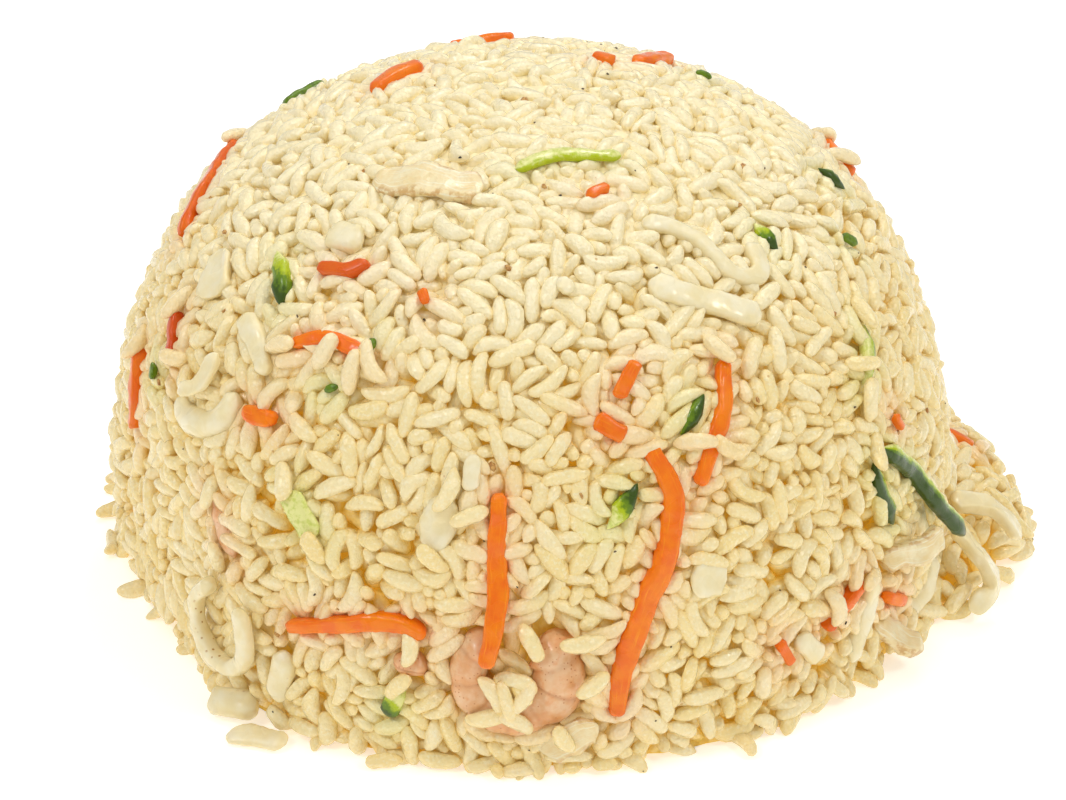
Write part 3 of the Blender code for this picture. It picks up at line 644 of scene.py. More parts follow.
def rice_finish():
    finish, tree, base = new_finish("cooked_rice", (0.25, (1.0, 0.75, 0.35), 0.6), 0.35,
                                    {"Size": 0.75, "Depth": 0.34, "Dry": 0.34, "Wet": 0.14}, 1.5)
    body = blended(tree, attribute(tree, "tint").outputs["Fac"], IVORY, CREAM)
    # pale flecks: partly chalky starch, partly painted glints
    body = blended(tree, scaled(tree, mottle_mask(tree, 0.55, 0.5, 0.66), 0.45), body, CHALK_AND_GLINT)
    body = blended(tree, scaled(tree, mottle_mask(tree, 0.8, 0.46, 0.34), 0.35), body, CLEAR_TIP)
    along = computed(tree, "ABSOLUTE", attribute(tree, "lengthwise").outputs["Fac"])
    body = blended(tree, scaled(tree, ramped(tree, along, 0.55, 1.0), 0.45), body, CLEAR_TIP)
    blush = scaled(tree, attribute(tree, "blush").outputs["Fac"], 0.4)
    body = blended(tree, blush, body, (0.93, 0.60, 0.38, 1))
    green = scaled(tree, attribute(tree, "green").outputs["Fac"], 0.3)
    body = blended(tree, green, body, (0.70, 0.74, 0.25, 1))
    # painted shade: grains deep in the gaps turn amber
    deep = attribute(tree, "deep").outputs["Fac"]
    body = blended(tree, deep, body, GAP_SHADE_AMBER)
    # painted glow: a faint amber light in every grain lifts its shade, and more of it lights the gaps
    shader = tree.nodes["Principled BSDF"]
    shader.inputs["Emission Strength"].default_value = 0.17
    tree.links.new(blended(tree, deep, (0.24, 0.165, 0.05, 1), (1.0, 0.63, 0.03, 1)),
                   shader.inputs["Emission Color"])
    # paler towards the top: partly the smear of the bowl's bottom, partly painted light from above
    smear_and_top_light = scaled(tree, ramped(tree, height_of_point(tree), 50 * MM, 74 * MM), 0.6)
    body = blended(tree, smear_and_top_light, body, SMEAR_AND_TOP_LIGHT)
    spots = placed(tree, FLECKS, Spacing=3.2, Size=0.1, Share=0.12)
    body = blended(tree, scaled(tree, spots.outputs["Mask"], 0.6), body, (0.55, 0.27, 0.05, 1))
    tree.links.new(body, base)
    return finish


RICE = rice_finish()

# %% [markdown]
# ## The core
#
# Under the grains lies a core of pressed rice, a little inside the heap's surface. It fills the
# gaps, so nobody sees through the heap, and its amber colour and faint glow are painted shade and
# painted light for those gaps. Its skin has relief finer than a grain. Towards the crown it comes
# closer to the surface, because there the bowl's bottom smeared the rice together.

# %% The core
CORE_INSET = 3.6 * MM
CROWN_INSET = 1.1 * MM
CORE_LUMP = 2.6 * MM
LUMP_HEIGHT = 0.9 * MM
CORE_FLOOR = 0.2 * MM  # the core ends this far over the table
CROWN_STARTS = 48  # degrees of rise
CROWN_FADE = 20


def core_mesh(turns=180, rows=64):
    """A closed shell in rings from the floor to the top."""
    rise = np.concatenate([[0.35], np.linspace(1.2, 89, rows - 1)])
    azimuth = np.arange(turns) * 360 / turns - 180
    grid_azimuth, grid_rise = np.meshgrid(azimuth, rise)
    inset = CORE_INSET + (CROWN_INSET - CORE_INSET) * np.clip(
        (grid_rise - CROWN_STARTS) / CROWN_FADE, 0, 1)
    points = on_surface(grid_azimuth, grid_rise) - outward(grid_azimuth, grid_rise) * inset[..., None]
    points[0] = points[1] * (1, 1, 0)
    flat = points.reshape(-1, 3)
    lumps = np.array([noise.noise(Vector(p) / CORE_LUMP) for p in flat])
    flat = flat + unit(flat) * (lumps * LUMP_HEIGHT)[:, None]
    flat[:, 2] = np.maximum(flat[:, 2], CORE_FLOOR)
    flat = np.vstack([flat, [(0, 0, CORE_FLOOR), (0, 0, BOWL_DEPTH - CROWN_INSET)]])
    return flat, tube_faces(rows, turns)


def core_finish():
    finish, tree, base = new_finish("pressed_rice", (0.3, (1.0, 0.6, 0.25), 1.0), 0.1,
                                    {"Size": 2.2, "Depth": 1.0, "Dry": 0.5, "Wet": 0.25})
    # painted shade: the core is amber like the gaps between grains
    body = mottled(tree, 2.4, 0.35, 0.65, (0.92, 0.72, 0.26), (0.88, 0.60, 0.12))
    # paler towards the top: partly smeared rice, partly painted light from above
    crown = ramped(tree, height_of_point(tree), 56 * MM, 72 * MM)
    body = blended(tree, crown, body, (0.95, 0.84, 0.54, 1))
    tree.links.new(body, base)
    # painted glow: a faint amber light from the core
    shader = tree.nodes["Principled BSDF"]
    shader.inputs["Emission Strength"].default_value = 0.06
    shader.inputs["Emission Color"].default_value = (1.0, 0.63, 0.03, 1)
    return finish


core = made_object("rice_core", *core_mesh())
dress(core, "rice", core_finish(), "rice_mound")
print("core faces:", len(core.data.polygons))

# %% [markdown]
# ## Letting the grains settle
#
# A real heap is grains that push each other until each has its place. Here each grain is four
# beads on a stick. They start at random in a thin layer over the core, and in each round every two
# beads that overlap push their grains apart and turn them. The bowl holds them from outside, the
# core from inside, the table from below, and the toppings don't give way at all. A grid of cells
# finds the neighbours, so that thousands of grains settle in seconds.

# %% Neighbours through a grid of cells
GRID = 1000
HALF_STEPS = [(0, 0, 0), *((x, y, z) for x in (-1, 0, 1) for y in (-1, 0, 1) for z in (-1, 0, 1)
                           if (x, y, z) > (0, 0, 0))]


def near_pairs(points, distance):
    """All pairs of points in neighbouring cells of that size, each pair once."""
    cells = np.floor(points / distance).astype(np.int64) + GRID // 2
    keys = (cells[:, 0] * GRID + cells[:, 1]) * GRID + cells[:, 2]
    order = np.argsort(keys, kind="stable")
    ranked = keys[order]
    firsts, seconds = [], []
    for x, y, z in HALF_STEPS:
        wanted = keys + (x * GRID + y) * GRID + z
        low = np.searchsorted(ranked, wanted, "left")
        counts = np.searchsorted(ranked, wanted, "right") - low
        first = np.repeat(np.arange(len(points)), counts)
        skipped = np.repeat(np.cumsum(counts) - counts, counts)
        second = order[np.arange(len(first)) - skipped + np.repeat(low, counts)]
        if (x, y, z) == (0, 0, 0):
            first, second = first[first < second], second[first < second]
        firsts.append(first)
        seconds.append(second)
    return np.concatenate(firsts), np.concatenate(seconds)


# %% The beads that stand for the toppings
BEAD_STEP = 1.1 * MM
LARGEST_BEAD = 1.3 * MM
PRESSED_IN = 0.96  # a topping's beads are smaller by this, because grains press into it


def solid_beads(route, widths, thickness):
    """Beads that fill a topping, for the grains to lie against."""
    length = route_length(route)
    places = np.linspace(0, length, max(3, round(length / BEAD_STEP)))
    middles, _, side, away = resampled(route, places)
    widths = np.atleast_1d(np.array(widths, float)) * MM
    halves = np.interp(places / length, np.linspace(0, 1, len(widths)), widths) / 2
    beads = []
    radius = min(thickness / 2, LARGEST_BEAD) * PRESSED_IN
    for middle, s, a, half in zip(middles, side, away, halves):
        wide, deep = max(half - radius, 0), max(thickness / 2 - radius, 0)
        for x in np.linspace(-wide, wide, 1 + 2 * round(wide / MM)):
            for y in np.linspace(-deep, deep, 1 + 2 * round(deep / (1.2 * MM))):
                if deep == 0 or (x / max(wide, 1e-9)) ** 2 + (y / deep) ** 2 < 1.1:
                    beads.append((*(middle + s * x + a * y), radius))
    return beads


laid_in_rice = [*routes.values(), *(row for rows in scraps.values() for row in rows)]
still = np.array([bead for route, width, thickness in laid_in_rice
                  for bead in solid_beads(route, width, thickness)])
print("beads in the toppings:", len(still))

# %% Settling
GRAIN_LENGTH = 7.3 * MM
BEADS = np.array([-0.72, -0.26, 0.26, 0.72])  # places of a grain's beads, as shares of half its length
BEAD_RADII = np.array([0.84, 1.09, 1.09, 0.84]) * MM  # soft grains press in, so beads are thinner
SHELL = 5.0 * MM  # how deep the layer of grains goes
LEAST_DEPTH = 0.4 * MM  # a grain starts at least this far inside the heap
GRAIN_COUNT = 7250
TRIES = 16  # random places drawn for each grain, of which the heap's layer holds a few
BOX_LOW = np.array([-80, -76, 1.2]) * MM
BOX_HIGH = np.array([86, 76, 84]) * MM
REACHING = 2.4 * MM  # beads farther apart than this can't touch
STEP_SHARE = 0.3  # how much of its pushes a grain follows in one round
TURN_SHARE = 0.8
CORE_PUSH = 0.5
ROUNDS = 55
SEED = 5
dice = np.random.default_rng(SEED)


def start_places(count):
    """Random places in the heap's outer layer, evenly by volume."""
    tried = dice.uniform(BOX_LOW, BOX_HIGH, (count * TRIES, 3))
    azimuth, rise = angles(tried)
    depth = reach(azimuth, rise) - np.linalg.norm(tried, axis=1)
    return tried[(depth > LEAST_DEPTH) & (depth < SHELL)][:count]


def bead_places(middles, ways, lengths):
    return middles[:, None] + ways[:, None] * (BEADS[None] * lengths[:, None] / 2)[..., None]


def summed(owners, pushes, count):
    return np.stack([np.bincount(owners, pushes[:, k], count) for k in range(3)], axis=1)


def outer_limit(middles):
    """How far the grains may stand over the bowl's surface: pressed flat at the crown, loose below."""
    azimuth, rise = angles(middles)
    patches = np.array([noise.noise(Vector(p) / (9 * MM)) for p in middles])
    loose = np.clip((62 - rise) / 40, 0, 1)
    slid = bell(azimuth, **SPILL) * np.clip((24 - rise) / 12, 0, 1)
    return (0.35 + 0.4 * loose + 0.9 * slid + (0.3 + 0.4 * loose) * patches) * MM


def settle(middles, ways, lengths, rounds):
    """The grains after some rounds, in each of which the beads that overlap push each other."""
    count = len(middles)
    owners = np.concatenate([np.repeat(np.arange(count), 4), -1 - np.arange(len(still))])
    radii = np.concatenate([np.tile(BEAD_RADII, count), still[:, 3]])
    limit = outer_limit(middles)
    for _ in range(rounds):
        beads = bead_places(middles, ways, lengths)
        points = np.vstack([beads.reshape(-1, 3), still[:, :3]])
        first, second = near_pairs(points, REACHING)
        kept = (owners[first] >= 0) | (owners[second] >= 0)
        kept &= owners[first] != owners[second]
        first, second = first[kept], second[kept]
        gap = points[second] - points[first]
        far = np.maximum(np.linalg.norm(gap, axis=1), 1e-7)
        overlap = radii[first] + radii[second] - far
        hit = overlap > 0
        first, second, overlap = first[hit], second[hit], overlap[hit]
        push = gap[hit] / far[hit, None] * overlap[:, None]
        share = np.where((owners[first] < 0) | (owners[second] < 0), 1.0, 0.5)[:, None]
        moves = summed(second, push * share, len(points)) - summed(first, push * share, len(points))
        moves = moves[: count * 4].reshape(count, 4, 3)
        azimuth, rise = angles(beads)
        away = outward(*angles(middles))
        lean = np.abs((unit(middles) * away).sum(axis=1))[:, None]
        height = (np.linalg.norm(beads, axis=2) - reach(azimuth, rise)) * lean
        over = np.maximum(height + BEAD_RADII - limit[:, None], 0)
        under = np.maximum(-SHELL - height + BEAD_RADII, 0)
        moves += away[:, None] * (CORE_PUSH * under - over)[..., None]
        moves[..., 2] += np.maximum(BEAD_RADII - beads[..., 2], 0)
        middles = middles + moves.sum(axis=1) * STEP_SHARE
        levers = BEADS[None] * lengths[:, None] / 2
        turning = (moves * levers[..., None]).sum(axis=1) / (levers**2).sum(axis=1)[:, None]
        ways = unit(ways + turning * TURN_SHARE)
    print("mean overlap in mm:", round(overlap.mean() / MM, 3), "contacts:", len(overlap))
    return middles, ways


def settled_grains():
    """Middles, ways and lengths of the grains; most lie along the surface and a few are broken."""
    middles = start_places(GRAIN_COUNT)
    count = len(middles)
    away = outward(*angles(middles))
    ways = unit(np.cross(away, dice.normal(size=(count, 3))) + away * dice.normal(0, 0.55, (count, 1)))
    whole = dice.uniform(0.78, 1.06, count)
    lengths = np.where(dice.random(count) < 0.14, dice.uniform(0.42, 0.7, count), whole) * GRAIN_LENGTH
    middles, ways = settle(middles, ways, lengths, ROUNDS)
    return middles, ways, lengths


# %% [markdown]
# Some grains lie half over a topping, with one end up on its edge and the other down in the rice.
# They are laid first, and hold still while the others settle round them.

# %% Grains that lie over the toppings
COVER_STEP = 5 * MM  # a grain may come over a topping's side once in this distance
SIDE_SHARE = 0.22
END_SHARE = 0.55
COVER_TILT = math.radians(19)
PRESSED_HEIGHT = 2.2 * MM  # only toppings that nowhere stand higher than this are lain over
COVERED_RISE = (9, 54)  # degrees: above the table and below the smeared crown
BARE = ("squid_strip_right", "squid_hood", "squid_fold", "squid_curl", "carrot_long_front", "carrot_hook",
        "carrot_stub_left", "cucumber_left", "cucumber_knob", "cucumber_front", "cucumber_upper")


def covering_grain(name, edge, outwards, away, thickness):
    """A grain whose inner end lies on a topping: place, way, outward direction and topping."""
    turn = dice.normal(0, 0.5)
    across = unit(outwards * math.cos(turn) + np.cross(away, outwards) * math.sin(turn))
    way = across * math.cos(COVER_TILT) - away * math.sin(COVER_TILT)
    place = edge + across * dice.uniform(1.0, 2.0) * MM + away * thickness / 2
    return place, way, unit(away + across * math.tan(COVER_TILT)), name


def covering_grains():
    found = []
    for name, (route, widths, thickness) in routes.items():
        rise = angles(route[0])[1]
        pressed = height_over(route[0]).max() < PRESSED_HEIGHT
        if name in BARE or not pressed or rise.min() <= COVERED_RISE[0] or rise.max() > COVERED_RISE[1]:
            continue
        length = route_length(route)
        half = np.atleast_1d(widths).max() * MM / 2
        for start in np.arange(COVER_STEP / 2, length, COVER_STEP):
            middle, _, side, away = [row[0] for row in resampled(route, np.array([start]))]
            for hand in (-1, 1):
                if dice.random() < SIDE_SHARE:
                    edge = middle + side * hand * half
                    found.append(covering_grain(name, edge, side * hand, away, thickness))
        for end, hand in ((0.0, -1), (length, 1)):
            middle, ahead, _, away = [row[0] for row in resampled(route, np.array([end]))]
            if dice.random() < END_SHARE:
                found.append(covering_grain(name, middle, ahead * hand, away, thickness))
    return found


covers = covering_grains()
cover_places, cover_ways, cover_aways, covered = zip(*covers)
cover_lengths = dice.uniform(0.8, 1.0, len(covers)) * GRAIN_LENGTH
cover_beads = bead_places(np.array(cover_places), np.array(cover_ways), cover_lengths)
still = np.vstack([still, np.column_stack([cover_beads.reshape(-1, 3), np.tile(BEAD_RADII, len(covers))])])
print("grains over the toppings:", len(covers))

# %% Settling the others
middles, ways, lengths = settled_grains()
print("grains:", len(middles))

# %% [markdown]
# ## What each grain knows about its place
#
# A few grains that couldn't leave a topping are taken away. For the others, each bead gets its
# depth under the grains round it, which sets the amber shade painted into the gaps, and its
# distance from the carrot and from the cucumber.


# %% Depth and neighbours of each grain
SHADE_REACH = 4.2 * MM  # a grain lies in the shade of tops this near
SHADE_CELL = 3.4 * MM
SHADE_FALL = 0.12  # how much lower a top counts for each unit of distance
BURIED_DEPTH = 1.9 * MM
TOUCHING = 1.8 * MM  # from the middle of a topping to the middle of a grain that touches it
BLUSH_REACH = 4.5 * MM
GREEN_REACH = 3.6 * MM


def search_tree(places):
    tree = kdtree.KDTree(len(places))
    for k, place in enumerate(places):
        tree.insert(place, k)
    tree.balance()
    return tree


def clear_of_toppings(middles, ways, lengths, allowed=0.72 * MM):
    """Whether no bead of a grain reaches deeper into a topping than allowed."""
    beads = bead_places(middles, ways, lengths)
    tree = search_tree(still[:, :3])
    clear = []
    for grain in beads:
        worst = 0
        for bead, radius in zip(grain, BEAD_RADII):
            _, k, far = tree.find(bead)
            worst = max(worst, radius + still[k, 3] - far)
        clear.append(worst < allowed)
    return np.array(clear)


def local_depth(beads):
    """Height of each bead's top, and of the surface that the highest tops about it make."""
    flat = beads.reshape(-1, 3)
    tops = height_over(flat) + np.tile(BEAD_RADII, len(beads))
    first, second = near_pairs(flat, SHADE_CELL)
    far = np.linalg.norm(flat[first] - flat[second], axis=1)
    near = far < SHADE_REACH
    first, second, fall = first[near], second[near], far[near] * SHADE_FALL
    envelope = tops.copy()
    np.maximum.at(envelope, first, tops[second] - fall)
    np.maximum.at(envelope, second, tops[first] - fall)
    return tops, envelope


def nearness(beads, kinds, distance):
    """1 at a topping of these kinds, 0 beyond the distance."""
    chosen = [routes[name] for name in routes if name.split("_")[0] in kinds]
    chosen += [row for kind in kinds for row in scraps.get(kind, [])]
    tree = search_tree([place for route, _, _ in chosen for place in route[0]])
    far = np.array([tree.find(bead)[2] for bead in beads.reshape(-1, 3)])
    return np.clip(1 - (far - TOUCHING) / distance, 0, 1).reshape(beads.shape[:2])


clear = clear_of_toppings(middles, ways, lengths)
middles, ways, lengths = middles[clear], ways[clear], lengths[clear]
beads = bead_places(middles, ways, lengths)
tops, envelope = local_depth(beads)
tops, envelope = tops.reshape(-1, 4), envelope.reshape(-1, 4)
buried = (envelope - tops).min(axis=1) > BURIED_DEPTH
blush = nearness(beads, ("carrot", "shrimp"), BLUSH_REACH)
green = nearness(beads, ("cucumber",), GREEN_REACH)
print("taken away:", int((~clear).sum()), "kept:", len(middles), "buried:", int(buried.sum()))

# %% [markdown]
# ## Shapes of grains
#
# Cooked grains are alike and never the same. Twelve shapes come from one formula: a long blunt
# spindle, flatter one way, with soft lengthwise ridges, a slight bend, one end more pointed, and
# some with a bitten germ end or broken across. Buried grains need fewer faces, so each shape has
# a plain twin.

# %% Shapes of grains
SHAPES = 12
BROKEN_SHAPES = 3  # the last ones are broken across
GRAIN_WIDTH = 2.65 * MM
GRAIN_THICKNESS = 2.2 * MM


def grain_shape(number, rings, sides):
    """Points, faces and place along the grain for one shape, lying along X."""
    draw = random.Random(100 + number)
    blunt = draw.uniform(2.6, 4.0)
    skew = draw.uniform(-0.16, 0.16)
    bend = draw.gauss(0, 0.5) * MM
    phase = [draw.uniform(0, math.tau) for _ in range(4)]
    broken = number >= SHAPES - BROKEN_SHAPES
    t = np.sin(np.linspace(-1, 1, rings + 2)[1:-1] * math.pi / 2)
    waist = (1 - np.abs(t + skew * (1 - t**2)) ** blunt) ** 0.5
    if broken:
        cut = 0.45 + 0.1 * (number % 3)
        waist = waist * np.clip((1.0 - t) / (1 - cut), 0, 1) ** 0.35
    waist = waist * (1 + 0.05 * np.sin(4.2 * t + phase[3]))
    turn = np.arange(sides) / sides * math.tau
    ridges = np.array([draw.gauss(1, 0.085) for _ in range(sides)])
    crinkles = np.array([[draw.gauss(1, 0.035) for _ in range(sides)] for _ in range(rings)])
    dent = 1 - 0.3 * np.outer(np.clip((t - 0.45) / 0.5, 0, 1), np.clip(np.cos(turn - phase[0]), 0, 1) ** 2)
    y = GRAIN_WIDTH / 2 * np.outer(waist, np.cos(turn) * ridges) * dent * crinkles
    z = GRAIN_THICKNESS / 2 * np.outer(waist, np.sin(turn) * ridges) * dent * crinkles
    x = np.outer(t * GRAIN_LENGTH / 2, np.ones(sides))
    y = y + (bend * (t**2 - 0.35))[:, None]
    z = z + (bend * 0.4 * np.sin(2 * t + phase[1]))[:, None]
    points = np.stack([x, y, z], axis=-1).reshape(-1, 3)
    ends = [(s * GRAIN_LENGTH / 2, bend * 0.65, bend * 0.4 * math.sin(2 * s + phase[1])) for s in (-1, 1)]
    turned_out = [(face[0], *face[:0:-1]) for face in tube_faces(rings, sides)]
    return np.vstack([points, ends]), turned_out, np.concatenate([np.repeat(t, sides), [-1, 1]])


def shape_collection(title, rings, sides):
    """The shapes as objects of a collection outside the scene, in the order of their names."""
    collection = bpy.data.collections.new(title)
    for number in range(SHAPES):
        points, faces, lengthwise = grain_shape(number, rings, sides)
        mesh = bpy.data.meshes.new(f"{title}_{number:02d}")
        mesh.from_pydata([tuple(p) for p in points], [], faces)
        mesh.attributes.new("lengthwise", "FLOAT", "POINT").data.foreach_set(
            "value", lengthwise.astype(np.float32))
        collection.objects.link(bpy.data.objects.new(mesh.name, mesh))
    return collection


FINE = shape_collection("fine_grain", 9, 9)
PLAIN = shape_collection("plain_grain", 4, 6)

# %% [markdown]
# ## A Geometry Nodes tree that lays the grains
#
# The settled grains become points that carry a shape's number, a turn and a stretch. A node tree
# puts the shape on each point, with a small random change of size from a fixed seed, makes the
# instances real and gives them their material. The tree's result is taken as a plain mesh, so no
# modifier is left on the piece.


# %% The laying tree
def laying_tree():
    tree = bpy.data.node_groups.new("lay_pieces", "GeometryNodeTree")
    sockets = {}
    for title, kind in (("Geometry", "Geometry"), ("Shapes", "Collection"), ("Size", "Float"),
                        ("Unevenness", "Float"), ("Seed", "Int"), ("Finish", "Material")):
        sockets[title] = tree.interface.new_socket(title, in_out="INPUT", socket_type=f"NodeSocket{kind}")
    tree.interface.new_socket("Geometry", in_out="OUTPUT", socket_type="NodeSocketGeometry")
    given, out = tree.nodes.new("NodeGroupInput"), tree.nodes.new("NodeGroupOutput")
    shapes = node(tree, "GeometryNodeCollectionInfo", Collection=given.outputs["Shapes"],
                  Separate_Children=True, Reset_Children=True)
    kind = node(tree, "GeometryNodeInputNamedAttribute", {"data_type": "INT"}, Name="kind")
    turn = node(tree, "GeometryNodeInputNamedAttribute", {"data_type": "FLOAT_VECTOR"}, Name="turn")
    stretch = node(tree, "GeometryNodeInputNamedAttribute", {"data_type": "FLOAT_VECTOR"}, Name="stretch")
    rotation = node(tree, "FunctionNodeEulerToRotation", Euler=turn.outputs["Attribute"])
    low = computed(tree, "SUBTRACT", given.outputs["Size"], given.outputs["Unevenness"])
    high = computed(tree, "ADD", given.outputs["Size"], given.outputs["Unevenness"])
    random_size = node(tree, "FunctionNodeRandomValue", {"data_type": "FLOAT"}, i2=low, i3=high,
                       Seed=given.outputs["Seed"])
    scale = node(tree, "ShaderNodeVectorMath", {"operation": "SCALE"}, i0=stretch.outputs["Attribute"],
                 Scale=random_size.outputs[1])
    laid = node(tree, "GeometryNodeInstanceOnPoints", Points=given.outputs["Geometry"],
                Instance=shapes.outputs["Instances"], Pick_Instance=True,
                Instance_Index=kind.outputs["Attribute"], Rotation=rotation.outputs["Rotation"],
                Scale=scale.outputs["Vector"])
    real = node(tree, "GeometryNodeRealizeInstances", Geometry=laid.outputs["Instances"])
    soft = node(tree, "GeometryNodeSetShadeSmooth", i0=real.outputs["Geometry"])
    done = node(tree, "GeometryNodeSetMaterial", Geometry=soft.outputs["Geometry"],
                Material=given.outputs["Finish"])
    tree.links.new(done.outputs["Geometry"], out.inputs["Geometry"])
    return tree, {title: socket.identifier for title, socket in sockets.items()}


LAYING, LAYING_INPUTS = laying_tree()


def lay(name, middles, turns, stretches, kinds, shapes, finish, unevenness=0.04, seed=1):
    """A mesh object with a shape laid on each middle; its attribute 'grain' is the middle's number."""
    mesh = bpy.data.meshes.new(name)
    mesh.from_pydata([tuple(p) for p in middles], [], [])
    for key, kind, field, values in (("turn", "FLOAT_VECTOR", "vector", turns),
                                     ("stretch", "FLOAT_VECTOR", "vector", stretches),
                                     ("kind", "INT", "value", kinds),
                                     ("grain", "INT", "value", np.arange(len(middles)))):
        dtype = np.int32 if kind == "INT" else np.float32
        mesh.attributes.new(key, kind, "POINT").data.foreach_set(field, np.asarray(values, dtype).ravel())
    obj = bpy.data.objects.new(name, mesh)
    bpy.context.scene.collection.objects.link(obj)
    modifier = obj.modifiers.new("lay", "NODES")
    modifier.node_group = LAYING
    for title, value in (("Shapes", shapes), ("Size", 1.0), ("Unevenness", unevenness), ("Seed", seed),
                         ("Finish", finish)):
        modifier[LAYING_INPUTS[title]] = value
    evaluated = obj.evaluated_get(bpy.context.evaluated_depsgraph_get())
    obj.data = bpy.data.meshes.new_from_object(evaluated)
    obj.data.name = name
    obj.modifiers.clear()
    bpy.data.meshes.remove(mesh)
    return obj


def turns_of(ways, aways, rolls):
    """Euler turns that lay X along each way and Z near the outward direction, rolled about X."""
    turns = []
    for way, away, roll in zip(ways, aways, rolls):
        side = Vector(np.cross(away, way)).normalized()
        rest = Matrix((way, side, Vector(way).cross(side))).transposed()
        turns.append((rest @ Matrix.Rotation(roll, 3, "X")).to_euler()[:])
    return np.array(turns)


# %% [markdown]
# ## The pieces of rice
#
# The heap's grains are shared out by where they lie, so that no piece grows past the number of
# faces that a file can keep. Each point of a grain then takes its depth and its tinges from the
# beads of its own grain.


# %% The pieces of rice
def numbers_of(obj, name, dtype=np.float32):
    """An attribute of the points with one number each."""
    values = np.empty(len(obj.data.vertices), dtype)
    obj.data.attributes[name].data.foreach_get("value", values)
    return values


def vectors_of(obj, name):
    """An attribute of the points with a vector each."""
    values = np.empty(len(obj.data.vertices) * 3, np.float32)
    obj.data.attributes[name].data.foreach_get("vector", values)
    return values.reshape(-1, 3)


def keep_attribute(obj, name, values):
    """A new attribute with a number for each point, or one number for all."""
    made = obj.data.attributes.new(name, "FLOAT", "POINT")
    values = np.broadcast_to(values, len(obj.data.vertices))
    made.data.foreach_set("value", np.asarray(values, np.float32))


def per_point(obj, values, members):
    """Values of the beads, read for each point of the laid grains."""
    spot = np.clip(np.interp(numbers_of(obj, "lengthwise"), BEADS, np.arange(4)), 0, 2.999)
    low = spot.astype(int)
    rows = members[numbers_of(obj, "grain", np.int32)]
    return values[rows, low] * (low + 1 - spot) + values[rows, low + 1] * (spot - low)


# painted shade in the gaps: none down to the first depth, then deepening to amber over the range
LIT_DEPTH = 0.9 * MM  # down to here a grain keeps its own colour
GAP_SHADE_RANGE = 4.2 * MM  # and over this it turns amber


def lay_rice(name, chosen, shapes):
    """One piece of rice from the chosen grains, with what its finish reads."""
    members = np.flatnonzero(chosen)
    rolls = dice.normal(0, 0.7, len(members))
    aways = outward(*angles(middles[members]))
    stretch = np.stack([lengths[members] / GRAIN_LENGTH, dice.uniform(0.92, 1.1, len(members)),
                        dice.uniform(0.9, 1.12, len(members))], axis=1)
    short = stretch[:, 0] < 0.75
    stretch[:, 0] = np.where(short, np.minimum(stretch[:, 0] * 1.25, 0.9), stretch[:, 0])
    kinds = dice.integers(0, SHAPES - BROKEN_SHAPES, len(members))
    kinds[short] = dice.integers(SHAPES - BROKEN_SHAPES, SHAPES, short.sum())
    turns = turns_of(ways[members], aways, rolls)
    obj = lay(name, middles[members], turns, stretch, kinds, shapes, RICE)
    points = vectors_of(obj, "position")
    # the depth under the tops round it sets the painted gap shade, with less of it at the crown
    depth = per_point(obj, envelope, members) - height_over(points)
    deep = np.clip((depth - LIT_DEPTH) / GAP_SHADE_RANGE, 0, 1)
    deep = deep * (1 - 0.6 * np.clip((angles(points)[1] - 50) / 18, 0, 1))  # shallower gaps at the crown
    keep_attribute(obj, "deep", deep * deep * (3 - 2 * deep))
    keep_attribute(obj, "blush", per_point(obj, blush, members))
    keep_attribute(obj, "green", per_point(obj, green, members))
    tints = dice.random(len(members))
    keep_attribute(obj, "tint", tints[numbers_of(obj, "grain", np.int32)])
    dress(obj, "rice", RICE, "rice_mound")
    triangles = sum(len(face.vertices) - 2 for face in obj.data.polygons)
    print(name, "grains:", len(members), "triangles:", triangles)


CROWN_RISE = 58
azimuths, rises = angles(middles)
SECTORS = {"front_left": (-90, 0), "front_right": (0, 90), "back_right": (90, 180), "back_left": (-180, -90)}
crown = rises > CROWN_RISE
for title, (start, end) in SECTORS.items():
    lay_rice(f"rice_{title}", ~buried & ~crown & (azimuths >= start) & (azimuths < end), FINE)
lay_rice("rice_crown", ~buried & crown, FINE)
lay_rice("rice_buried", buried, PLAIN)

# %% [markdown]
# ## Grains that lie by themselves
#
# A few grains lie on the shrimp, and others rolled off the heap and lie flat on the table round
# its foot. They are listed one by one or placed by a seeded draw, and laid with the same node tree,
# together with the grains that lie over the toppings.

# %% Grains that lie by themselves
ON_SHRIMP = [
    # azimuth and rise in degrees, height over the heap in millimetres, turn in the surface in degrees
    (-4.4, 13.0, 2.5, 118), (-2.7, 12.2, 2.9, 104), (-0.9, 12.6, 2.8, 58), (-1.7, 9.4, 2.8, 152),
    (-4.9, 9.8, 2.4, 15),
]
ROLLED_AWAY = [
    # azimuth in degrees, distance from the middle in millimetres, turn on the table in degrees
    (-105.5, 72.6, 20), (-108, 73.4, 95), (-102, 71.4, 140), (-111, 72.2, 60), (-97, 70.6, 30),
]
FOOT_STRAYS = 20
STRAY_SPREAD = 0.8  # millimetres inwards and outwards from the heap's edge
LYING_HEIGHT = 1.15 * MM
CLEARANCE = 4.0 * MM  # no stray's middle lies nearer than this to a topping


def tangent_way(away, turn):
    """A direction in the surface, turned anticlockwise from the right."""
    right = unit(np.cross((0, 0, 1), away))
    return right * math.cos(turn) + np.cross(away, right) * math.sin(turn)


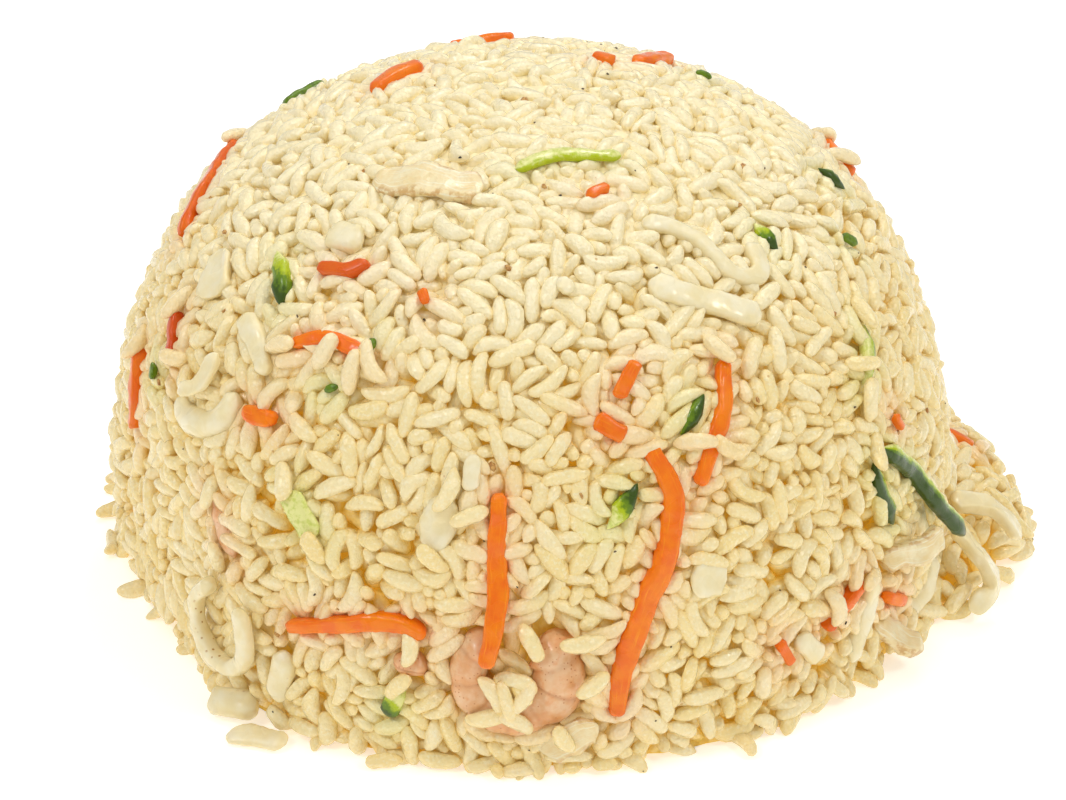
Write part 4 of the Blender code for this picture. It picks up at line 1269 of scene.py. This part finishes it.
lone_places, lone_ways, lone_aways = [], [], []
for azimuth, rise, height, turn in ON_SHRIMP:
    away = outward(azimuth, rise)
    lone_places.append(on_surface(azimuth, rise) + away * height * MM)
    lone_ways.append(tangent_way(away, math.radians(turn)))
    lone_aways.append(away)
rolled = [(azimuth, distance * MM, math.radians(turn)) for azimuth, distance, turn in ROLLED_AWAY]
for azimuth in dice.uniform(-180, 180, FOOT_STRAYS):
    distance = reach(azimuth, 0.0) + dice.uniform(-STRAY_SPREAD, STRAY_SPREAD) * MM
    rolled.append((azimuth, distance, dice.uniform(0, math.pi)))
for azimuth, distance, turn in rolled:
    angle = math.radians(azimuth)
    place = np.array([math.sin(angle) * distance, -math.cos(angle) * distance, LYING_HEIGHT])
    if np.linalg.norm(still[:, :3] - place, axis=1).min() > CLEARANCE:
        lone_places.append(place)
        lone_ways.append(np.array([math.cos(turn), math.sin(turn), 0]))
        lone_aways.append(np.array([0.0, 0.0, 1.0]))
loose = len(lone_places)
lone_places += cover_places
lone_ways += cover_ways
lone_aways += cover_aways
count = len(lone_places)
lone_lengths = np.concatenate([dice.uniform(0.8, 1.05, loose), cover_lengths / GRAIN_LENGTH])
stretches = np.stack([lone_lengths, np.ones(count), np.ones(count)], axis=1)
lone = lay("rice_lone", lone_places, turns_of(lone_ways, lone_aways, dice.normal(0, 0.4, count)), stretches,
           dice.integers(0, SHAPES - BROKEN_SHAPES, count), FINE, RICE)
owner = numbers_of(lone, "grain", np.int32)
blushing = np.array([0.1] * loose + [0.5 * name.startswith("carrot") for name in covered])
# a trace of painted gap shade
keep_attribute(lone, "deep", 0.03)
keep_attribute(lone, "blush", blushing[owner])
keep_attribute(lone, "green", 0.0)
keep_attribute(lone, "tint", dice.random(count)[owner])
dress(lone, "rice", RICE, "rice_mound")
print("grains by themselves:", count)

# %% [markdown]
# ## Pepper and browned crumbs
#
# Ground pepper and bits browned in the pan are scattered thinly over everything. They are tiny
# uneven lumps, half sunk in the tops of grains, where the eye can find them.

# %% Pepper and browned crumbs
PEPPER_COUNT = 150
CRUMB_COUNT = 44


def lump_collection(title, size):
    """Four uneven lumps, in a collection outside the scene."""
    collection = bpy.data.collections.new(title)
    draw = random.Random(7)
    for number in range(4):
        bm = bmesh.new()
        bmesh.ops.create_icosphere(bm, subdivisions=1, radius=size)
        for vert in bm.verts:
            vert.co = Vector((vert.co.x * 1.5, vert.co.y, vert.co.z * 0.7)) * draw.uniform(0.6, 1.25)
        mesh = bpy.data.meshes.new(f"{title}_{number}")
        bm.to_mesh(mesh)
        bm.free()
        collection.objects.link(bpy.data.objects.new(mesh.name, mesh))
    return collection


def dark_finish(name, first, second):
    finish, tree, base = new_finish(name, (0.0, (1, 1, 1), 0.1), 0.1,
                                    {"Size": 0.3, "Depth": 0.05, "Dry": 0.6, "Wet": 0.35})
    tree.links.new(mottled(tree, 0.5, 0.4, 0.6, first, second), base)
    return finish


def surface_spots(count):
    """Places on the tops of grains, drawn from the finished pieces of rice."""
    spots = []
    for title in [*SECTORS, "crown"]:
        piece = bpy.data.objects[f"rice_{title}"]
        spots.append(vectors_of(piece, "position")[numbers_of(piece, "deep") < 0.02])
    spots = np.vstack(spots)
    return spots[dice.choice(len(spots), count, replace=False)]


def strew(name, count, size, finish):
    """Lumps of a size on the tops of grains, as one piece."""
    spots = surface_spots(count)
    aways = outward(*angles(spots))
    ways = unit(np.cross(aways, dice.normal(size=(count, 3))))
    sizes = dice.uniform(0.5, 1.5, count)[:, None] * np.ones(3)
    piece = lay(name, spots, turns_of(ways, aways, dice.normal(0, 0.5, count)), sizes,
                dice.integers(0, 4, count), lump_collection(f"{name}_lumps", size), finish)
    dress(piece, "rice", finish)
    print(name, count)


strew("pepper", PEPPER_COUNT, 0.16 * MM,
      dark_finish("ground_pepper", (0.03, 0.022, 0.012), (0.12, 0.07, 0.03)))
strew("crumbs", CRUMB_COUNT, 0.5 * MM,
      dark_finish("browned_crumb", (0.42, 0.19, 0.05), (0.66, 0.38, 0.12)))

# %% [markdown]
# ## Carrot
#
# The carrot was cut into thin sticks, so its section is nearly square with worn corners. Its
# orange is deep and even, a little paler along the core of the root, with fine fibres along it.

# %% Carrot
def carrot_finish():
    finish, tree, base = new_finish("cooked_carrot", (0.2, (1.0, 0.4, 0.1), 0.7), 0.3,
                                    {"Size": 0.5, "Depth": 0.06, "Dry": 0.42, "Wet": 0.22})
    body = mottled(tree, 3.0, 0.35, 0.65, (0.89, 0.155, 0.0), (0.94, 0.22, 0.0))
    body = blended(tree, ramped(tree, fibres(tree, 180.0, 5.0, 5.0), 0.58, 0.75), body,
                   (0.97, 0.31, 0.006, 1))
    # painted shade: the attribute shade darkens a stick towards deep red
    body = blended(tree, scaled(tree, attribute(tree, "shade").outputs["Fac"], 0.85), body,
                   (0.62, 0.06, 0.003, 1))
    tree.links.new(body, base)
    return finish


CARROT = carrot_finish()
# painted shade for sticks that lie under squid, low down and on the left side
SHADED_CARROTS = {"carrot_dark_left": 1.0, "carrot_under_squid": 0.7, "carrot_rim_left": 0.5,
                "carrot_edge_left": 0.3, "carrot_low_right": 0.25}


def made_topping(name, seed, ripple, **style):
    """A topping swept along its route, with ripples of three sizes, that stays over the table."""
    route, widths, thickness = routes[name]
    points, faces, lie = swept(route, widths, thickness, **style)
    points = rippled(points, 7 * MM, ripple * 2, seed + 80)
    points = rippled(points, 2.6 * MM, ripple, seed)
    points = rippled(points, 0.9 * MM, ripple * 0.35, seed + 50)
    points[:, 2] = np.maximum(points[:, 2], 0.15 * MM)
    return made_object(f"cooked_{name}", points, faces, lie=lie)


for seed, (name, *_) in enumerate(CARROTS):
    piece = made_topping(name, seed, 0.24 * MM, power=4.0, tip=0.9 * MM, taper=0.28)
    keep_attribute(piece, "shade", SHADED_CARROTS.get(name, 0.0))
    dress(piece, "carrot", CARROT, name)
print("carrot sticks:", len(CARROTS))

# %% [markdown]
# ## Cucumber
#
# The cucumber sticks still have their skin on one side or at one end: dark green, with a bright
# yellow-green band under it that fades to pale flesh. Where the skin lies differs from stick to
# stick, so each has a mask worked out from the place along and across it.

# %% Cucumber
SKINS = {
    # along, across and a constant: together they give how much skin shows at a point
    "cucumber_front": (2.4, 0.2, -0.65), "cucumber_upper": (0.3, 0.4, 0.75),
    "cucumber_right": (-0.5, -0.8, 0.35), "cucumber_beside": (0.2, 0.9, 0.8),
    "cucumber_left": (1.6, 0.2, -0.2), "cucumber_knob": (2.0, 0.2, -0.35),
    "cucumber_rim_right": (0.2, 0.5, 0.8), "cucumber_foot": (2.2, 0.2, -0.75),
    "cucumber_pale_top": (0.0, 0.5, -0.2), "cucumber_pale_left": (0.0, 0.1, -0.05),
    "cucumber_back": (0.3, 0.9, 0.45), "cucumber_long": (0.1, 1.2, 0.75),
}


def cucumber_finish():
    finish, tree, base = new_finish("cooked_cucumber", (0.3, (0.7, 1.0, 0.3), 0.7), 0.4,
                                    {"Size": 0.6, "Depth": 0.07, "Dry": 0.4, "Wet": 0.2})
    wavering = computed(tree, "ADD", attribute(tree, "skin").outputs["Fac"],
                        scaled(tree, mottle_mask(tree, 0.8, 0.3, 0.7), 0.25))
    body = blended(tree, ramped(tree, wavering, 0.05, 0.4), (0.80, 0.79, 0.30, 1), (0.46, 0.55, 0.005, 1))
    body = blended(tree, ramped(tree, wavering, 0.45, 0.75), body, (0.13, 0.23, 0.002, 1))
    body = blended(tree, ramped(tree, wavering, 0.8, 1.15), body, (0.04, 0.08, 0.001, 1))
    tree.links.new(body, base)
    return finish


CUCUMBER = cucumber_finish()
BLUNT_CUCUMBERS = ("cucumber_pale_top", "cucumber_pale_left", "cucumber_foot")
for seed, name in enumerate(SKINS):
    blunt = name in BLUNT_CUCUMBERS
    piece = made_topping(name, 30 + seed, 0.22 * MM, power=2.6, tip=(1.3 if blunt else 3.2) * MM,
                         taper=0.45 if blunt else 0.75)
    along, across, _ = vectors_of(piece, "lie").T
    a, b, c = SKINS[name]
    keep_attribute(piece, "skin", np.clip(a * along / along.max() + b * across + c, 0, 1.2))
    dress(piece, "cucumber_flesh" if "pale" in name else "cucumber", CUCUMBER, name)
print("cucumber sticks:", len(SKINS))

# %% [markdown]
# ## Squid
#
# Boiled squid is smooth, ivory and slightly see-through, with soft round edges that curl. A few
# pieces have brown dots along the edge where the skin was. A cupped section gives the curl.

# %% Squid
def squid_finish():
    finish, tree, base = new_finish("cooked_squid", (0.5, (1.0, 0.8, 0.45), 1.4), 0.35,
                                    {"Size": 1.6, "Depth": 0.12, "Dry": 0.4, "Wet": 0.2})
    body = mottled(tree, 4.0, 0.35, 0.7, (0.88, 0.75, 0.42), (0.93, 0.84, 0.58))
    rim = ramped(tree, towards_rim(tree), 0.75, 1.0)
    body = blended(tree, scaled(tree, rim, 0.35), body, (0.80, 0.62, 0.27, 1))
    dots = placed(tree, FLECKS, Spacing=0.9, Size=0.3, Share=0.5).outputs["Mask"]
    brown = scaled(tree, dots, attribute(tree, "dotted").outputs["Fac"])
    body = blended(tree, brown, body, (0.50, 0.26, 0.05, 1))
    tree.links.new(body, base)
    return finish


SQUID_FINISH = squid_finish()
CUPPED = {"squid_hood": 0.35, "squid_curl": -0.4, "squid_lip": 0.3, "squid_right_low": 0.3,
          "squid_loop_right": 0.2, "squid_arc_right": 0.25}
DOTTED = {"squid_ring_left": 1.0, "squid_slab_left": 0.7, "squid_strip_low": 0.6, "squid_stub_left": 0.3}
for seed, name in enumerate(n for n in routes if n.startswith("squid")):
    piece = made_topping(name, 60 + seed, 0.3 * MM, power=2.7, cup=CUPPED.get(name, 0.0))
    inner = np.clip(-vectors_of(piece, "lie")[:, 1] * 1.6 - 0.5, 0, 1)
    keep_attribute(piece, "dotted", inner * DOTTED.get(name, 0.0))
    dress(piece, "squid", SQUID_FINISH, name)

# %% [markdown]
# ## Bamboo shoot and onion
#
# These slices are tan and fibrous, browned at the edges where they touched the pan.


# %% Bamboo shoot and onion
def slice_finish():
    finish, tree, base = new_finish("fried_slice", (0.35, (1.0, 0.7, 0.3), 0.9), 0.3,
                                    {"Size": 0.8, "Depth": 0.16, "Dry": 0.45, "Wet": 0.25})
    body = mottled(tree, 2.6, 0.35, 0.7, (0.87, 0.68, 0.34), (0.92, 0.80, 0.50))
    body = blended(tree, ramped(tree, fibres(tree, 120.0, 7.0, 2.0), 0.5, 0.72), body, (0.95, 0.88, 0.66, 1))
    browned = scaled(tree, ramped(tree, towards_rim(tree), 0.55, 1.0), mottle_mask(tree, 1.6, 0.45, 0.6))
    body = blended(tree, scaled(tree, browned, 0.7), body, (0.62, 0.33, 0.09, 1))
    tree.links.new(body, base)
    return finish


SLICE = slice_finish()
for seed, name in enumerate(n for n in routes if n.split("_")[0] in ("bamboo", "onion")):
    piece = made_topping(name, 90 + seed, 0.5 * MM, power=3.0, tip=1.4 * MM, taper=0.4, cup=0.15)
    dress(piece, "slice", SLICE, name)

# %% [markdown]
# ## Shrimp
#
# A shelled shrimp curls into a ring when it cooks. Its body is six or seven segments, each a
# little over the next, beige and pink with fine red-brown specks and darker lines where the
# segments meet. A sawtooth along the sweep gives the segments.

# %% Shrimp
SEGMENTS = {"shrimp_front": 8, "shrimp_back": 7, "shrimp_end": 2, "shrimp_peek": 2}


def shrimp_finish():
    finish, tree, base = new_finish("cooked_shrimp", (0.45, (1.0, 0.5, 0.3), 1.2), 0.4,
                                    {"Size": 0.7, "Depth": 0.08, "Dry": 0.4, "Wet": 0.2})
    body = mottled(tree, 3.6, 0.35, 0.65, (0.79, 0.39, 0.16), (0.86, 0.56, 0.32))
    body = blended(tree, scaled(tree, mottle_mask(tree, 1.2, 0.55, 0.75), 0.5), body, (0.80, 0.32, 0.12, 1))
    fine = placed(tree, FLECKS, Spacing=0.55, Size=0.3, Share=0.3).outputs["Mask"]
    body = blended(tree, scaled(tree, fine, 0.75), body, (0.55, 0.17, 0.04, 1))
    line = attribute(tree, "joint").outputs["Fac"]
    body = blended(tree, scaled(tree, line, 0.55), body, (0.50, 0.17, 0.05, 1))
    tree.links.new(body, base)
    return finish


def segmented(count):
    """A function that gives the body's swelling along a shrimp with this many segments."""
    def swelling(share):
        within = (share * count) % 1
        return 0.93 + 0.09 * np.sin(np.clip(within * 1.15, 0, 1) * math.pi) ** 0.6
    return swelling


SHRIMP = shrimp_finish()
for seed, (name, count) in enumerate(SEGMENTS.items()):
    piece = made_topping(name, 110 + seed, 0.3 * MM, power=2.1, sides=26, tip=2.6 * MM, taper=0.5,
                         swell=segmented(count))
    along = vectors_of(piece, "lie")[:, 0]
    within = (along / along.max() * count) % 1
    keep_attribute(piece, "joint", np.clip(1 - np.abs(within - 0.93) / 0.06, 0, 1))
    dress(piece, "shrimp", SHRIMP, name)

# %% [markdown]
# ## Scraps
#
# Between the large pieces lie scraps of carrot, cucumber and squid, no longer than a grain. They
# are swept like the others, and all scraps of one kind are joined into one piece.


# %% Scraps
def joined_sweeps(rows, first_seed, ripple, **style):
    """Points, faces and places of several sweeps, joined into one mesh."""
    points, faces, lies = [], [], []
    count = 0
    for seed, (route, widths, thickness) in enumerate(rows):
        swept_points, swept_faces, lie = swept(route, widths, thickness, **style)
        points.append(rippled(swept_points, 2.0 * MM, ripple, first_seed + seed))
        faces += [tuple(k + count for k in face) for face in swept_faces]
        lies.append(lie)
        count += len(swept_points)
    return np.vstack(points), faces, np.vstack(lies)


SCRAP_STYLES = {
    # finish, slot, the section's power, the tip, and the attributes that the finish reads
    # carrot scraps get a little painted shade
    "carrot": (CARROT, "carrot", 4.0, 0.5, {"shade": 0.15}),
    "cucumber": (CUCUMBER, "cucumber", 3.0, 0.8, {"skin": 0.75}),
    "squid": (SQUID_FINISH, "squid", 2.7, 1.0, {"dotted": 0.0}),
}
for seed, (kind, rows) in enumerate(scraps.items()):
    finish, slot, power, tip, values = SCRAP_STYLES[kind]
    points, faces, lie = joined_sweeps(rows, 130 + 20 * seed, 0.25 * MM, power=power, tip=tip * MM,
                                       taper=0.4)
    piece = made_object(f"{kind}_scraps", points, faces, lie=lie)
    for key, value in values.items():
        keep_attribute(piece, key, value)
    dress(piece, slot, finish)
    print(piece.name, len(rows), "faces:", len(faces))

# %% [markdown]
# ## The floor and the light
#
# The photograph was taken on white with soft light from all round, a bit more from above and
# behind. A white world and one wide lamp overhead give that light, and small lamps give the moist
# grains their glints. The floor glows a little, more so where the camera sees it, so only a faint
# warm shadow stays round the foot.

# %% The floor and the light
WORLD_STRENGTH = 0.47
LAMPS = {
    # power, size and place: a wide one overhead, and small ones whose reflections sparkle
    "overhead": (1.2, 0.6, Vector((0.0, 0.1, 0.8))),
    "sparkle_left": (1.1, 0.13, Vector((-0.4, -0.3, 0.6))),
    "sparkle_right": (0.95, 0.13, Vector((0.42, -0.25, 0.55))),
    "sparkle_back": (0.9, 0.13, Vector((0.1, 0.4, 0.7))),
}

FLOOR_HALF = 6.0
FLOOR_GLOW = 0.39
SEEN_GLOW = 0.05  # added where the camera looks at the floor

corners = [(x * FLOOR_HALF, y * FLOOR_HALF, 0) for x, y in ((-1, -1), (1, -1), (1, 1), (-1, 1))]
floor_mesh = bpy.data.meshes.new("floor")
floor_mesh.from_pydata(corners, [], [(0, 1, 2, 3)])
floor = bpy.data.objects.new("floor", floor_mesh)
bpy.context.scene.collection.objects.link(floor)
white = bpy.data.materials.new("white_table")
white.use_nodes = True
paint = white.node_tree.nodes["Principled BSDF"]
paint.inputs["Base Color"].default_value = (0.88, 0.87, 0.84, 1)
paint.inputs["Roughness"].default_value = 0.8
paint.inputs["Emission Color"].default_value = (1.0, 0.99, 0.97, 1)
camera_ray = node(white.node_tree, "ShaderNodeLightPath").outputs["Is Camera Ray"]
glow = computed(white.node_tree, "ADD", scaled(white.node_tree, camera_ray, SEEN_GLOW), FLOOR_GLOW)
white.node_tree.links.new(glow, paint.inputs["Emission Strength"])
floor_mesh.materials.append(white)

world = bpy.data.worlds.new("white_room")
world.use_nodes = True
surroundings = world.node_tree.nodes["Background"]
surroundings.inputs["Color"].default_value = (1.0, 1.0, 1.0, 1)
surroundings.inputs["Strength"].default_value = WORLD_STRENGTH
bpy.context.scene.world = world

for name, (power, size, place) in LAMPS.items():
    lamp = bpy.data.lights.new(name, "AREA")
    lamp.energy = power
    lamp.size = size
    lamp_object = bpy.data.objects.new(name, lamp)
    lamp_object.location = place
    lamp_object.rotation_euler = (-place).to_track_quat("-Z", "Y").to_euler()
    bpy.context.scene.collection.objects.link(lamp_object)
bpy.context.scene.view_settings.view_transform = "Standard"
